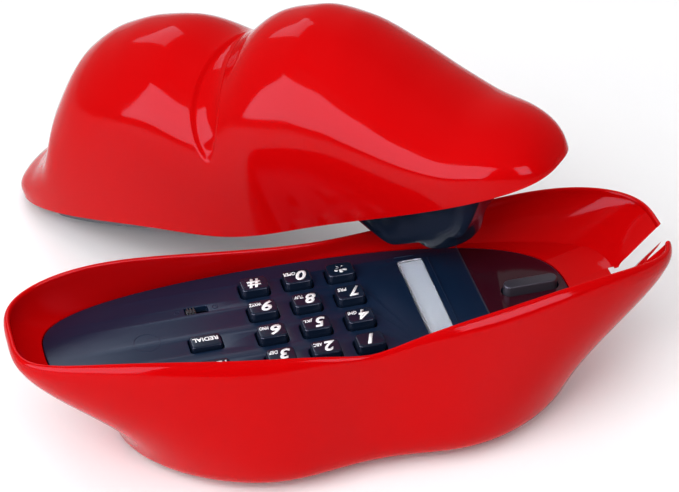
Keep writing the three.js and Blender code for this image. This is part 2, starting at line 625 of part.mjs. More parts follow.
add(base, 'base_shell', makeBaseShell(), COLOUR.red, GLOSSY);
add(base, 'base_bottom_plate', makeBottomPlate(), COLOUR.cover, SATIN);
FOOT_SPOTS.forEach(([x, y], i) => {
  add(base, `foot_${i + 1}`, makeFoot(), COLOUR.rubber, SOFT).position.set(x, y, 0);
});
SCREW_SPOTS.forEach(([x, y], i) => {
  const screw = makeScrew(9.4, 2.9, 1.35);
  add(base, `bottom_screw_${i + 1}`, screw, COLOUR.metal, SATIN, METALLIC).position.set(x, y, 1.7);
});
add(base, 'ballast_plate', makeBallast(), COLOUR.metal, SATIN, METALLIC);
add(base, 'ringer', makeRinger(), COLOUR.rubber, SATIN);
add(base, 'line_jack', makeJack(LINE_JACK), COLOUR.clear, SATIN);
add(base, 'cord_jack', makeJack(CORD_JACK), COLOUR.clear, SATIN);
add(base, 'main_board', makeBoard(), COLOUR.board, SATIN);
add(base, 'keypad_mat', makeMat(), COLOUR.mat, SOFT);
add(base, 'keypad_panel', makePanel(), COLOUR.panel, SATIN);
keySpots().forEach(({ name, x, y }) => {
  const key = makeKey(KEYS.wide, KEYS.deep, KEYS.top, 1.5);
  add(base, name, key, COLOUR.key, SATIN).position.set(x, y, 0);
});
SIDE_SPOTS.forEach(({ name, x, y }) => {
  const key = makeKey(SIDE_KEYS.wide, SIDE_KEYS.deep, SIDE_KEYS.top, 1);
  add(base, name, key, COLOUR.key, SATIN).position.set(x, y, 0);
});
const switchBody = block(12, 6, BOARD.z + BOARD.thick + GAP, 29.9, TONE.x, TONE.y);
add(base, 'tone_switch_body', switchBody, COLOUR.metal, SATIN, METALLIC);
add(base, 'tone_switch_knob', makeToneKnob(), COLOUR.rubber, SATIN);
const card = block(LABEL.wide - 0.8, LABEL.long - 0.8, 31, 31.2, LABEL.x, LABEL.y);
add(base, 'label_card', card, COLOUR.label, SOFT);
add(base, 'label_window', makeLabelWindow(), COLOUR.clear, GLOSSY);
add(base, 'hook_plunger', makeHookPlunger(), COLOUR.rubber, SATIN);
add(base, 'hook_spring', makeHookSpring(), COLOUR.metal, SATIN, METALLIC);
add(base, 'hook_bracket', makeHookBracket(), COLOUR.metal, SATIN, METALLIC);
add(base, 'hook_switch', makeHookSwitch(), COLOUR.rubber, SATIN);

add(handset, 'handset_shell', makeHandsetShell(), COLOUR.red, GLOSSY);
add(handset, 'handset_cover', makeHandsetCover(), COLOUR.cover, SATIN);
HANDSET_POSTS.forEach((x, i) => {
  const screw = makeScrew(13, 2.9, 1.2);
  const seat = coverBottom(x, 0) - 1.9;
  add(handset, `handset_screw_${i + 1}`, screw, COLOUR.metal, SATIN, METALLIC).position.set(x, 0, seat);
});
const boot = cut(podInsert(MOUTH_CUP, 6.6, 1, 6), podInsert(MOUTH_CUP, 5.3, 2, 9));
add(handset, 'mouthpiece_boot', boot, COLOUR.rubber, SOFT);
add(handset, 'microphone', podInsert(MOUTH_CUP, 5, 2.3, 7.5), COLOUR.metal, SATIN, METALLIC);
const gasket = cut(podInsert(EAR_POD, 12, 0.7, 2), podInsert(EAR_POD, 9, -2, 4));
add(handset, 'earpiece_gasket', gasket, COLOUR.mat, SOFT);
add(handset, 'earpiece_capsule', podInsert(EAR_POD, 12, 2.3, 9), COLOUR.metal, SATIN, METALLIC);
add(handset, 'handset_ballast', block(31, 20, 6, 14, 0, 0), COLOUR.metal, SATIN, METALLIC);
add(handset, 'handset_jack', makeHandsetJack(), COLOUR.clear, SATIN);

handset.rotation.set(degToRad(POSE.roll), degToRad(POSE.tilt), degToRad(POSE.yaw), 'ZYX');
handset.position.set(POSE.x, POSE.y, POSE.z);

// the origin goes to the middle of the whole footprint, on the desk
phone.updateMatrixWorld(true);
const footprint = new THREE.Box3().setFromObject(phone, true);
const centre = footprint.getCenter(new THREE.Vector3());
base.position.set(-centre.x, -centre.y, 0);
handset.position.x -= centre.x;
handset.position.y -= centre.y;

export default phone;
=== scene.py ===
"""Lips-shaped novelty telephone: what is seen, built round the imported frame.

Sizes are written in millimetres and turned into metres where a mesh is made."""
import json
import math

import bmesh
import bpy
import numpy as np
from mathutils import Matrix, Vector


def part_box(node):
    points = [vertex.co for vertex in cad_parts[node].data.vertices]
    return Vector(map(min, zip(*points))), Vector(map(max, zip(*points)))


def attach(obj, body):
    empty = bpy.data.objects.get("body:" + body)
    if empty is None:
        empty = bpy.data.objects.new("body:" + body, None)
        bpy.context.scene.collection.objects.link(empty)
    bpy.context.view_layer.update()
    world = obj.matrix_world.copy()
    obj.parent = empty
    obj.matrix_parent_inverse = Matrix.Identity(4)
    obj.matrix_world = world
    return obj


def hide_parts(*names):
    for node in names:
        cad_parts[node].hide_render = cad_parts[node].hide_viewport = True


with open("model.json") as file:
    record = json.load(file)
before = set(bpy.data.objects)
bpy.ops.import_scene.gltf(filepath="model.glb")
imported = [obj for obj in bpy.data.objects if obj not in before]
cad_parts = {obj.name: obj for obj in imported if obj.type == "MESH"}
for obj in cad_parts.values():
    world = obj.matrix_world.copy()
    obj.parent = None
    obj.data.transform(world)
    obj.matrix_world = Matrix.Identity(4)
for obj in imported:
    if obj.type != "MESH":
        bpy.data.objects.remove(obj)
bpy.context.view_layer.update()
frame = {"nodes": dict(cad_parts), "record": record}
MM = 0.001

# ---------------------------------------------------------------- sizes, as in the CAD
WALL = 2.8
GAP = 0.3
BASE = dict(
    centre_x=0.8, centre_y=4, tip_y=4.4, bottom_z=3, half=109, bottom_half=76.6, end_flare=2,
    rim_front=35.3, rim_back=36, bottom_front=37.5, bottom_back=30, bulge=10, bulge_power=0.39,
    rim_front_z=49, rim_back_z=39, rim_tip_z=47, rim_hump=4.6, front_blend=0.84, back_blend=1.6,
    squareness=0.89, rim_squareness=0.55, rim_dip=3, dip_width=0.17, right_lift=2.2,
    cleft_depth=9.2, cleft_width=28, cleft_fade=0.7, tip_pinch=0.1, back_bulge=0.5, lift_power=0.8,
)
RIM = dict(crest=2, shoulder=5.5, inner_drop=1.4)
PANEL = dict(
    top=33, thick=2.5, centre_x=-10.5, centre_y=8, half=85.5, back=29.4, back_lean=3.5, front=33.5, skew=6,
    end_power=0.9, side_power=0.7,
)
PANEL_UNDER = PANEL["top"] - PANEL["thick"] - GAP
PANEL_STEP_X = 45.7          # the line where the panel's satin field ends and its gloss field begins
# a low bead along the step; its lighter grey is painted highlight on the step's edge
PANEL_HIGHLIGHT_LINE = dict(y=4.2, wide=0.32, long=61.5)
LEDGE = dict(wide=2, thick=1.8, root=2.4, root_inset=0.6)
FLANGE = dict(wide=7, top=8, bottom=5.5)
BOWL_FLOOR = dict(steps=15, last=15.2, fall=1.15, dish=2.2, tip_flat=0.5)
EJECT_MARK = dict(x=-63.5, y=9.5, radius=4.2, wire=0.16)
SWITCH_DIMPLE = dict(away=6.2, radius=0.85, wire=0.2)
KEYS = dict(
    x=-10, y=8, pitch_x=14.5, pitch_y=12.2, wide=9.4, deep=7, top=36, bottom=28.8, corner=1.5, clear=0.8,
    hole_corner=1.6,
)
SIDE_KEYS = dict(
    x=-45.6, y=4.1, pitch_y=12.4, wide=10.2, deep=6.2, top=34.6, corner=1, clear=0.7, hole_corner=1,
)
KEY_CAP = dict(skirt=3, edge=0.55, draft=0.15)
KEY_FLANGE = dict(wider=2, radius=1.2, edge=0.15)
DIGIT = dict(size=(3.9, 4.7), slant=0.3, right=1.25)
DIGIT_SIZES = {"1": (2.9, 4.7), "#": (4.4, 4.4), "*": (4.2, 4.2)}      # those that aren't DIGIT's size
LETTERS = dict(wide=0.95, extra=0.2, tall=1.6, left=2.3, back=1.35, slant=0.2)
WORD = dict(wide=8.2, tall=1.9, back=0.6)
PRINT = dict(above=0.03, thick=0.09, bolder=0.03)
PRINT_WELD = 0.004
TONE = dict(x=-44.9, y=21.4, long=7.6, wide=3.3, travel=3.6)
LABEL = dict(x=28.6, y=4, wide=8.6, long=48.4, card_z=31, card_thick=0.25, window_deep=1.6, window_proud=0.6)
HOOK = dict(x=62.5, y=4, long=18.4, wide=4.6, top=36.2, foot=29.4, shoulder=28.4, stem=15.2)
SLOT = dict(y=2.5, wide=7.4, z=33.4, x=90, far_x=130, tall=60, corner=2.4)
CHANNEL = dict(wide=7.2, way=(0.334, 1.225, -1), deep=16)
CHANNEL_RUNS = [(90.3, 33.7, 94.3, 34), (93.3, 33.6, 109.6, 50.4)]          # x and z of each run's two ends
JACKS = dict(line=(-24, 9.6), cord=(18, 7.8))          # x and the width of the plug of each socket
JACK_Y, JACK_Z = 32, 15
JACK_MOUTH = dict(clear=1, deep=14, tall=9, back=8, up=0.5)
JACK_BODY = dict(walls=3.4, deep=15, tall=11.5, back=-6, up=0.75, bevel=0.35)
JACK_CAVITY = dict(deep=12, tall=6.8, back=-3.5, up=0.2, latch_wide=3.4, latch_tall=1.5, latch_up=4.25)
CONTACT = dict(count=4, pitch=1.15, radius=0.22)
CONTACT_BEND = [(-9.3, -2.9), (-6, -2.7), (-3, -2.2), (-0.5, -2.3), (1.2, -2.85)]
PLATE = dict(top=5.2, edge=0.4, screw_hole=3.6, foot_hole=4.8)
PLATE_FRAME = dict(y=6, long=34, deep=16, rail=0.8, top=3.6)          # round the place of a rating label
PLATE_MARK = dict(x=16, radius=3.2, wire=0.18)
FOOT_H = 2.9
FOOT_PROFILE = [
    (0, 0.25), (5.2, 0.25), (5.5, 0), (6.3, 0), (6.8, 0.4), (7, 1.1), (7, FOOT_H), (2.1, FOOT_H), (2.1, 5),
    (1.7, 5.4), (0, 5.4),
]
FOOT_SPOTS = [(-38, -9), (-38, 20), (40, -9), (40, 20)]
SCREW_SPOTS = [(-52, -13.5), (-52, 21), (54, -13.5), (54, 21)]
SCREW_SEAT_Z = 1.7
SCREW = dict(head=2.9, cross_long=2.8, cross_wide=0.7, cross_deep=1.3)
BOTTOM_SCREW = dict(shank=1.35, length=9.4)
HANDSET_SCREW = dict(shank=1.2, length=13, sunk=1.9)
HANDSET = dict(
    half=109.3, front=36, back=31.5, crest=59.7, rim_power=0.35, bulge=0.1, notch=8.7,
    notch_width=0.12, tubercle=4.2, tubercle_width=0.28, tip_rise=1.5, side_power=0.9, tip_power=16,
)
HANDSET_COVER = dict(z=1.2, thick=2.4, end=100, side_gap=0.5)
CREST_LINE = [          # height of the lip from its left tip to its right tip, as a share
    (-1, 0.21), (-0.88, 0.24), (-0.78, 0.356), (-0.66, 0.688), (-0.54, 0.888), (-0.42, 0.972), (-0.3, 1),
    (0.3, 1), (0.42, 0.932), (0.54, 0.763), (0.66, 0.557), (0.78, 0.396), (0.88, 0.34), (1, 0.27),
]
GROOVE = dict(depth=1.5, half_width=5.2, low=28.5, high=101.0, lean=0.62, step=1.2)   # angles in degrees
MOUTH_POD = dict(x=68, depth=16.4, inward=31, inward_ramp=17, tipward=25, tip_ramp=17)
EAR_POD = dict(x=-62, y=-2, depth=9, inward=55, inward_ramp=45, tipward=36, tip_ramp=9)
POD_SIDE = dict(edge=0.97, ramp=0.17)
MOUTH_CUP = dict(x=67, y=-9.5, depth=4.6, radius=13.5, wall=0.3)
MOUTH_GRILLE = [(3, 6), (5.6, 10)]                       # radius and count of each ring of holes
EAR_GRILLE = [(3.4, 6), (6.6, 12), (9.6, 16)]
COVER_CUTS = [(1.7, -8, 12), (0.7, -30, 16)]             # radius, bottom and top: a bore, a grille hole
HANDSET_POSTS = (-20, 20)
COVER_JACK = dict(x=88.5, wide=7, deep=6.4)
POSE = dict(x=-1.6, y=79.6, z=38.5, yaw=-43.3, tilt=-20.3, roll=-1.4)

# ---------------------------------------------------------------- where the two lips are
hook_low, hook_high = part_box("hook_plunger")
HOOK_MIDDLE = (hook_low + hook_high) / 2
ORIGIN = Vector((HOOK_MIDDLE.x - HOOK["x"] * MM, HOOK_MIDDLE.y - HOOK["y"] * MM, 0))
BASE_PLACE = Matrix.Translation(ORIGIN) @ Matrix.Scale(MM, 4)
HANDSET_PLACE = (
    BASE_PLACE
    @ Matrix.Translation((POSE["x"], POSE["y"], POSE["z"]))
    @ Matrix.Rotation(math.radians(POSE["yaw"]), 4, "Z")
    @ Matrix.Rotation(math.radians(POSE["tilt"]), 4, "Y")
    @ Matrix.Rotation(math.radians(POSE["roll"]), 4, "X")
)


# ---------------------------------------------------------------- mesh helpers
def mesh_object(name, points, faces, place=BASE_PLACE):
    mesh = bpy.data.meshes.new(name)
    mesh.from_pydata([tuple(p) for p in points], [], faces)
    mesh.transform(place)
    mesh.validate()
    obj = bpy.data.objects.new(name, mesh)
    bpy.context.scene.collection.objects.link(obj)
    weld(obj)
    return obj


def weld(obj, distance=2e-6):
    bm = bmesh.new()
    bm.from_mesh(obj.data)
    bmesh.ops.remove_doubles(bm, verts=bm.verts, dist=distance)
    bmesh.ops.dissolve_degenerate(bm, edges=bm.edges, dist=distance)
    bmesh.ops.recalc_face_normals(bm, faces=bm.faces)
    bm.to_mesh(obj.data)
    bm.free()


def smooth(obj, degrees=32):
    obj.data.polygons.foreach_set("use_smooth", [True] * len(obj.data.polygons))
    obj.data.set_sharp_from_angle(angle=math.radians(degrees))
    return obj


def grid_faces(rows, cols, closed_rows=False, closed_cols=False):
    faces = []
    for i in range(rows if closed_rows else rows - 1):
        for j in range(cols if closed_cols else cols - 1):
            k, m = (j + 1) % cols, (i + 1) % rows
            faces.append((i * cols + j, i * cols + k, m * cols + k, m * cols + j))
    return faces


def loft(name, loops, place=BASE_PLACE):
    """A closed solid through loops of points that all have the same count."""
    count = len(loops[0])
    points = [p for loop in loops for p in loop]
    faces = grid_faces(len(loops), count, closed_cols=True)
    faces += [tuple(range(count))[::-1], tuple(range(len(points) - count, len(points)))]
    return mesh_object(name, points, faces, place)


def turned(name, profile, at, place=BASE_PLACE, steps=48):
    """A solid of revolution about Z from (radius, z) pairs that start and end on the axis."""
    loops = []
    for radius, z in profile:
        radius = max(radius, 1e-4)
        angles = [2 * math.pi * i / steps for i in range(steps)]
        loops.append([(at[0] + radius * math.cos(a), at[1] + radius * math.sin(a), z) for a in angles])
    return loft(name, loops, place)


def rounded_loop(wide, deep, radius, x=0.0, y=0.0, z=0.0, steps=8):
    radius = min(radius, wide / 2 - 1e-3, deep / 2 - 1e-3)
    points = []
    for quarter, (sx, sy) in enumerate([(1, 1), (-1, 1), (-1, -1), (1, -1)]):
        for i in range(steps + 1):
            a = (quarter + i / steps) * math.pi / 2
            points.append((
                x + sx * (wide / 2 - radius) + radius * math.cos(a),
                y + sy * (deep / 2 - radius) + radius * math.sin(a),
                z,
            ))
    return points


def soft_block(name, wide, deep, z0, z1, x=0.0, y=0.0, radius=1.0, edge=0.3, draft=0.0):
    """A block with rounded corners, rounded edges top and bottom, and sides that lean in by draft."""
    steps = 4
    turns = [(math.pi / 2) * i / steps for i in range(steps + 1)]
    levels = [(edge * (1 - math.sin(a)), z0 + edge * (1 - math.cos(a))) for a in turns]
    levels += [(draft + edge * (1 - math.cos(a)), z1 - edge * (1 - math.sin(a))) for a in turns]
    loops = [rounded_loop(wide - 2 * inset, deep - 2 * inset, radius, x, y, z) for inset, z in levels]
    return smooth(loft(name, loops), 50)


def block(name, size, middle, place=BASE_PLACE):
    half = [s / 2 for s in size]
    points = [
        (middle[0] + sx * half[0], middle[1] + sy * half[1], middle[2] + sz * half[2])
        for sx in (-1, 1) for sy in (-1, 1) for sz in (-1, 1)
    ]
    faces = [(0, 1, 3, 2), (4, 6, 7, 5), (0, 4, 5, 1), (2, 3, 7, 6), (0, 2, 6, 4), (1, 5, 7, 3)]
    return mesh_object(name, points, faces, place)


def settle(obj):
    """Applies the modifiers of obj to its mesh."""
    graph = bpy.context.evaluated_depsgraph_get()
    obj.data = bpy.data.meshes.new_from_object(obj.evaluated_get(graph))
    obj.modifiers.clear()
    return obj


def join(objects, name):
    bm = bmesh.new()
    for obj in objects:
        bm.from_mesh(obj.data)
    mesh = bpy.data.meshes.new(name)
    bm.to_mesh(mesh)
    bm.free()
    for obj in objects:
        bpy.data.objects.remove(obj)
    joined = bpy.data.objects.new(name, mesh)
    bpy.context.scene.collection.objects.link(joined)
    return joined


def cut(obj, *tools):
    tool = join(list(tools), obj.name + "_tool")
    modifier = obj.modifiers.new("cut", "BOOLEAN")
    modifier.operation = "DIFFERENCE"
    modifier.solver = "EXACT"
    modifier.use_self = True
    modifier.object = tool
    settle(obj)
    bpy.data.objects.remove(tool)
    return obj


def bevel_sharp(obj, width):
    """Rounds the edges of obj that are sharper than 50 degrees."""
    modifier = obj.modifiers.new("edge", "BEVEL")
    modifier.width = width * MM
    modifier.segments = 3
    modifier.limit_method = "ANGLE"
    modifier.angle_limit = math.radians(50)
    modifier.harden_normals = False
    return settle(obj)


def flat_plate(name, outline, holes, z0, z1, edge):
    """A plate with holes and rounded edges, filled from its outlines."""
    curve = bpy.data.curves.new(name, "CURVE")
    curve.dimensions = "2D"
    curve.fill_mode = "BOTH"
    curve.extrude = (z1 - z0) / 2 - edge
    curve.bevel_depth = edge
    curve.bevel_resolution = 2
    curve.offset = -edge
    for loop in [outline, *holes]:
        spline = curve.splines.new("POLY")
        spline.points.add(len(loop) - 1)
        for point, xyz in zip(spline.points, loop):
            point.co = (xyz[0], xyz[1], 0, 1)
        spline.use_cyclic_u = True
    maker = bpy.data.objects.new(name + "_curve", curve)
    bpy.context.scene.collection.objects.link(maker)
    graph = bpy.context.evaluated_depsgraph_get()
    mesh = bpy.data.meshes.new_from_object(maker.evaluated_get(graph))
    bpy.data.objects.remove(maker)
    mesh.transform(BASE_PLACE @ Matrix.Translation((0, 0, (z0 + z1) / 2)))
    mesh.materials.clear()
    obj = bpy.data.objects.new(name, mesh)
    bpy.context.scene.collection.objects.link(obj)
    weld(obj)
    return smooth(obj, 40)


def tube(name, points, radius, steps=8):
    """A closed wire along points."""
    path = [Vector(p) for p in points]
    loops = []
    side = None
    for i, here in enumerate(path):
        ahead = (path[min(i + 1, len(path) - 1)] - path[max(i - 1, 0)]).normalized()
        side = side or ahead.orthogonal().normalized()
        side = (side - ahead * side.dot(ahead)).normalized()
        other = ahead.cross(side)
        angles = [2 * math.pi * j / steps for j in range(steps)]
        loops.append([here + radius * (math.cos(a) * side + math.sin(a) * other) for a in angles])
    return smooth(loft(name, loops), 50)


def ring(name, x, y, z, radius, wire, steps=40, sides=8):
    """A wire bent into a circle round (x, y)."""
    points = []
    for i in range(steps):
        a = 2 * math.pi * i / steps
        out = Vector((math.cos(a), math.sin(a), 0))
        for j in range(sides):
            b = 2 * math.pi * j / sides
            points.append(
                Vector((x, y, z)) + out * (radius + wire * math.cos(b)) + Vector((0, 0, wire * math.sin(b)))
            )
    return smooth(mesh_object(name, points, grid_faces(steps, sides, True, True)), 60)


# ---------------------------------------------------------------- materials
MOTTLE_SCALE, WEAR_SCALE = 26, 70
GRAIN_HEIGHT = 0.0004


def plastic(name, colour, rough, rough_spread=0.05, grain=900.0, bump=0.02, tint=0.06,
            metallic=0.0, transmission=0.0, specular=0.5):
    """Moulded plastic, rubber or metal: a faint mottle, uneven gloss and a fine surface grain."""
    material = bpy.data.materials.new(name)
    material.use_nodes = True
    nodes, links = material.node_tree.nodes, material.node_tree.links
    shader = nodes["Principled BSDF"]
    where = nodes.new("ShaderNodeTexCoord")
    mottle = nodes.new("ShaderNodeTexNoise")
    mottle.inputs["Scale"].default_value = MOTTLE_SCALE
    mottle.inputs["Detail"].default_value = 4
    links.new(where.outputs["Object"], mottle.inputs["Vector"])
    shades = nodes.new("ShaderNodeMix")
    shades.data_type = "RGBA"
    links.new(mottle.outputs["Fac"], shades.inputs["Factor"])
    shades.inputs["A"].default_value = [c * (1 - tint) for c in colour] + [1]
    shades.inputs["B"].default_value = [min(1, c * (1 + tint)) for c in colour] + [1]
    links.new(shades.outputs["Result"], shader.inputs["Base Color"])
    wear = nodes.new("ShaderNodeTexNoise")
    wear.inputs["Scale"].default_value = WEAR_SCALE
    wear.inputs["Detail"].default_value = 6
    links.new(where.outputs["Object"], wear.inputs["Vector"])
    gloss = nodes.new("ShaderNodeMapRange")
    gloss.inputs["To Min"].default_value = max(0.02, rough - rough_spread)
    gloss.inputs["To Max"].default_value = rough + rough_spread
    links.new(wear.outputs["Fac"], gloss.inputs["Value"])
    links.new(gloss.outputs["Result"], shader.inputs["Roughness"])
    fine = nodes.new("ShaderNodeTexNoise")
    fine.inputs["Scale"].default_value = grain
    fine.inputs["Detail"].default_value = 3
    links.new(where.outputs["Object"], fine.inputs["Vector"])
    relief = nodes.new("ShaderNodeBump")
    relief.inputs["Strength"].default_value = bump
    relief.inputs["Distance"].default_value = GRAIN_HEIGHT
    links.new(fine.outputs["Fac"], relief.inputs["Height"])
    links.new(relief.outputs["Normal"], shader.inputs["Normal"])
    shader.inputs["Metallic"].default_value = metallic
    shader.inputs["Specular IOR Level"].default_value = specular
    shader.inputs["Transmission Weight"].default_value = transmission
    return material


RED = plastic("red_gloss", (0.46, 0.0008, 0.0015), 0.075, 0.02, grain=60, bump=0.012, tint=0.025,
              specular=0.065)
SATIN = plastic("panel_satin", (0.002, 0.010, 0.030), 0.36, 0.05, grain=2400, bump=0.09, tint=0.12,
                specular=0.4)
# dark red base colour: painted reflection of the red lip wall in the glossy dark panel; the gloss itself is
# real
PANEL_GLOSS_PAINTED_REFLECTION = plastic("panel_gloss_painted_reflection", (0.030, 0.003, 0.008), 0.12, 0.03, grain=800, bump=0.02, specular=0.3)
KEY = plastic("key_dark", (0.004, 0.009, 0.022), 0.24, 0.05, grain=2000, bump=0.05, tint=0.12, specular=0.35)
HOOK_BAR = plastic("hook_bar", (0.030, 0.028, 0.038), 0.34, 0.06, grain=1800, bump=0.08)
COVER = plastic("dark_cover", (0.006, 0.012, 0.028), 0.2, 0.04, grain=1200, bump=0.03)
LEGEND = plastic("legend_white", (0.82, 0.83, 0.85), 0.5, 0.05, tint=0.02)
CARD = plastic("label_card", (0.52, 0.56, 0.58), 0.6, 0.05, grain=3000, bump=0.05, tint=0.04)
WINDOW = plastic("clear_plastic", (0.93, 0.95, 0.96), 0.12, 0.03, bump=0.01, tint=0.01,
                 transmission=0.92)
SOCKET = plastic("socket_plastic", (0.02, 0.02, 0.022), 0.3, 0.05)
RUBBER = plastic("rubber", (0.018, 0.018, 0.018), 0.72, 0.08, grain=3500, bump=0.25, tint=0.2)
SILICONE = plastic("silicone", (0.17, 0.18, 0.19), 0.6, 0.06, grain=2500, bump=0.12, tint=0.1)
FOAM = plastic("foam", (0.06, 0.06, 0.06), 0.95, 0.04, grain=5000, bump=0.6, tint=0.3)
STEEL = plastic("steel", (0.55, 0.56, 0.58), 0.3, 0.08, grain=1500, bump=0.06, metallic=1.0)
ALUMINIUM = plastic("aluminium", (0.78, 0.79, 0.8), 0.34, 0.08, grain=2500, bump=0.08, metallic=1.0)
GOLD = plastic("contact_gold", (0.83, 0.6, 0.24), 0.22, 0.05, metallic=1.0)
BOARD = plastic("board_green", (0.02, 0.15, 0.055), 0.35, 0.06, grain=1500, bump=0.08, tint=0.25)
BY_SLOT = dict(
    red_gloss=RED, dark_cover=COVER, panel_satin=SATIN, key_dark=KEY, label_card=CARD,
    clear_plastic=WINDOW, socket_plastic=SOCKET, rubber=RUBBER, silicone=SILICONE, foam=FOAM,
    steel=STEEL, aluminium=ALUMINIUM, board_green=BOARD,
)


def paint(obj, material):
    obj.data.materials.clear()
    obj.data.materials.append(material)
    return obj


def piece(obj, body, material, slot, *nodes):
    paint(obj, material)
    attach(obj, body)
    if nodes:
        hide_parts(*nodes)
    return obj


# ---------------------------------------------------------------- the lower lip
def signed_power(value, power):
    return math.copysign(abs(value) ** power, value)


def bell(value, width):
    return math.exp(-((value / width) ** 2))


def base_rim_z(angle):
    along = abs(math.cos(angle))
    side = "front" if math.sin(angle) < 0 else "back"
    middle = BASE[f"rim_{side}_z"]
    hump = BASE["rim_hump"] * math.sin(math.pi * along ** 2)
    even = middle + (BASE["rim_tip_z"] - middle) * along ** BASE[f"{side}_blend"] + hump
    if side == "back":
        return even
    lift = BASE["right_lift"] * math.sin(math.pi * max(0.0, math.cos(angle)) ** BASE["lift_power"])
    return even + lift - BASE["rim_dip"] * bell(math.cos(angle), BASE["dip_width"])


def bowl_point(angle, t, inset=0.0):
    """A point on the bowl: angle goes round it from +X towards +Y, t from its foot, 0, to its rim, 1."""
    c, s = math.cos(angle), math.sin(angle)
    rise = math.sin(t * math.pi / 2) ** BASE["end_flare"]
    half = BASE["bottom_half"] + (BASE["half"] - BASE["bottom_half"]) * rise - inset
    x = half * signed_power(c, 1 + BASE["tip_pinch"] * t)
    swell = BASE["bulge"] * math.sin(math.pi * t ** BASE["bulge_power"])
    cleft = BASE["cleft_depth"] * bell(x, BASE["cleft_width"]) * (1 - t) ** BASE["cleft_fade"]
    front = BASE["bottom_front"] + (BASE["rim_front"] - BASE["bottom_front"]) * t + swell - cleft - inset
    back = BASE["bottom_back"] + (BASE["rim_back"] - BASE["bottom_back"]) * t
    back += BASE["back_bulge"] * swell - inset
    squareness = BASE["squareness"] + (BASE["rim_squareness"] - BASE["squareness"]) * t
    depth = abs(s) ** squareness * (-front if s < 0 else back)
    z = BASE["bottom_z"] + (base_rim_z(angle) - BASE["bottom_z"]) * t
    return (BASE["centre_x"] + x, BASE["centre_y"] + BASE["tip_y"] * c * c + depth, z)


def bowl_at_height(angle, z, inset):
    return bowl_point(angle, (z - BASE["bottom_z"]) / (base_rim_z(angle) - BASE["bottom_z"]), inset)


def panel_edge(angle, z, inset=0.0):
    c, s = math.cos(angle), math.sin(angle)
    depth = (PANEL["front"] if s < 0 else PANEL["back"] + PANEL["back_lean"] * c) - inset
    x = PANEL["centre_x"] + (PANEL["half"] - inset) * signed_power(c, PANEL["end_power"])
    return (x, PANEL["centre_y"] - PANEL["skew"] * c + depth * signed_power(s, PANEL["side_power"]), z)


def tight_angles(count, pull=0.86):
    """Angles round the bowl, closer together near its two tips."""
    even = [(i + 0.5) * 2 * math.pi / count for i in range(count)]
    return [a - pull / 2 * math.sin(2 * a) for a in even]


OUTSIDE_STEPS = [0, 0.002, 0.006, 0.014, 0.028, 0.05, 0.08, 0.12, 0.17, 0.23, 0.3, 0.38, 0.46, 0.54,
                 0.62, 0.7, 0.76, 0.82]
SHOULDER_STEPS, CREST_STEPS = 14, 6
INSIDE_HEIGHTS = (20, 11, FLANGE["top"])


def rim_slice(angle):
    """The rolled rim: its outer shoulder up to the crest, then its inner round."""
    rim_z = base_rim_z(angle)
    rim = []
    for i in range(SHOULDER_STEPS + 1):
        a = math.pi / 2 * i / SHOULDER_STEPS
        inset = RIM["crest"] * (1 - math.cos(a))
        rim.append(bowl_at_height(angle, rim_z - RIM["shoulder"] * (1 - math.sin(a)), inset))
    for i in range(1, CREST_STEPS + 1):
        a = math.pi / 2 * i / CREST_STEPS
        x, y, _ = bowl_point(angle, 1, RIM["crest"] + (WALL - RIM["crest"]) * math.sin(a))
        rim.append((x, y, rim_z - RIM["inner_drop"] * (1 - math.cos(a))))
    return rim


def floor_slice(angle, inner, edge):
    """The inside of the bowl, from its rim at inner down to the panel at edge."""
    flat = BOWL_FLOOR["tip_flat"] * max(0.0, math.cos(angle)) ** 2
    dish = BOWL_FLOOR["dish"]
    floor = []
    for i in range(1, BOWL_FLOOR["steps"] + 1):
        up = (1 - i / BOWL_FLOOR["last"]) ** BOWL_FLOOR["fall"]
        out = flat + (1 - flat) * (1 - (1 - up) ** (dish - dish * flat))
        floor.append((
            edge[0] + (inner[0] - edge[0]) * out,
            edge[1] + (inner[1] - edge[1]) * out,
            edge[2] + (inner[2] - edge[2]) * up,
        ))
    return floor


def shell_slice(angle):
    """One slice through the bowl's wall: outside, rolled rim, inside floor, panel ledge, flange."""
    outside = [bowl_point(angle, t) for t in OUTSIDE_STEPS]
    rim = rim_slice(angle)
    edge = panel_edge(angle, PANEL["top"])
    floor = floor_slice(angle, rim[-1], edge)
    ledge = [edge, panel_edge(angle, PANEL_UNDER)]
    ledge += [panel_edge(angle, z, LEDGE["wide"]) for z in (PANEL_UNDER, PANEL_UNDER - LEDGE["thick"])]
    under = bowl_at_height(angle, PANEL_UNDER - LEDGE["root"], WALL + LEDGE["root_inset"])
    inside = [bowl_at_height(angle, z, WALL) for z in INSIDE_HEIGHTS]
    flange = [(*bowl_point(angle, 0, FLANGE["wide"])[:2], z) for z in (FLANGE["top"], FLANGE["bottom"])]
    recess = (*bowl_point(angle, 0, WALL)[:2], FLANGE["bottom"])
    foot = bowl_point(angle, 0, WALL)
    return [*outside, *rim, *floor, *ledge, under, *inside, *flange, recess, foot]


def channel_tools():
    """The slanting part of the cord slot, that runs down and backwards under the rim."""
    tools = []
    left, right = (SLOT["y"] + side * CHANNEL["wide"] / 2 for side in (-1, 1))
    for x0, z0, x1, z1 in CHANNEL_RUNS:
        corners = [(x0, left, z0), (x0, right, z0), (x1, right, z1), (x1, left, z1)]
        mouth = [Vector(corner) for corner in corners]
        foot = [point + CHANNEL["deep"] * Vector(CHANNEL["way"]) for point in mouth]
        tools.append(loft("channel", [mouth, foot]))
    return tools


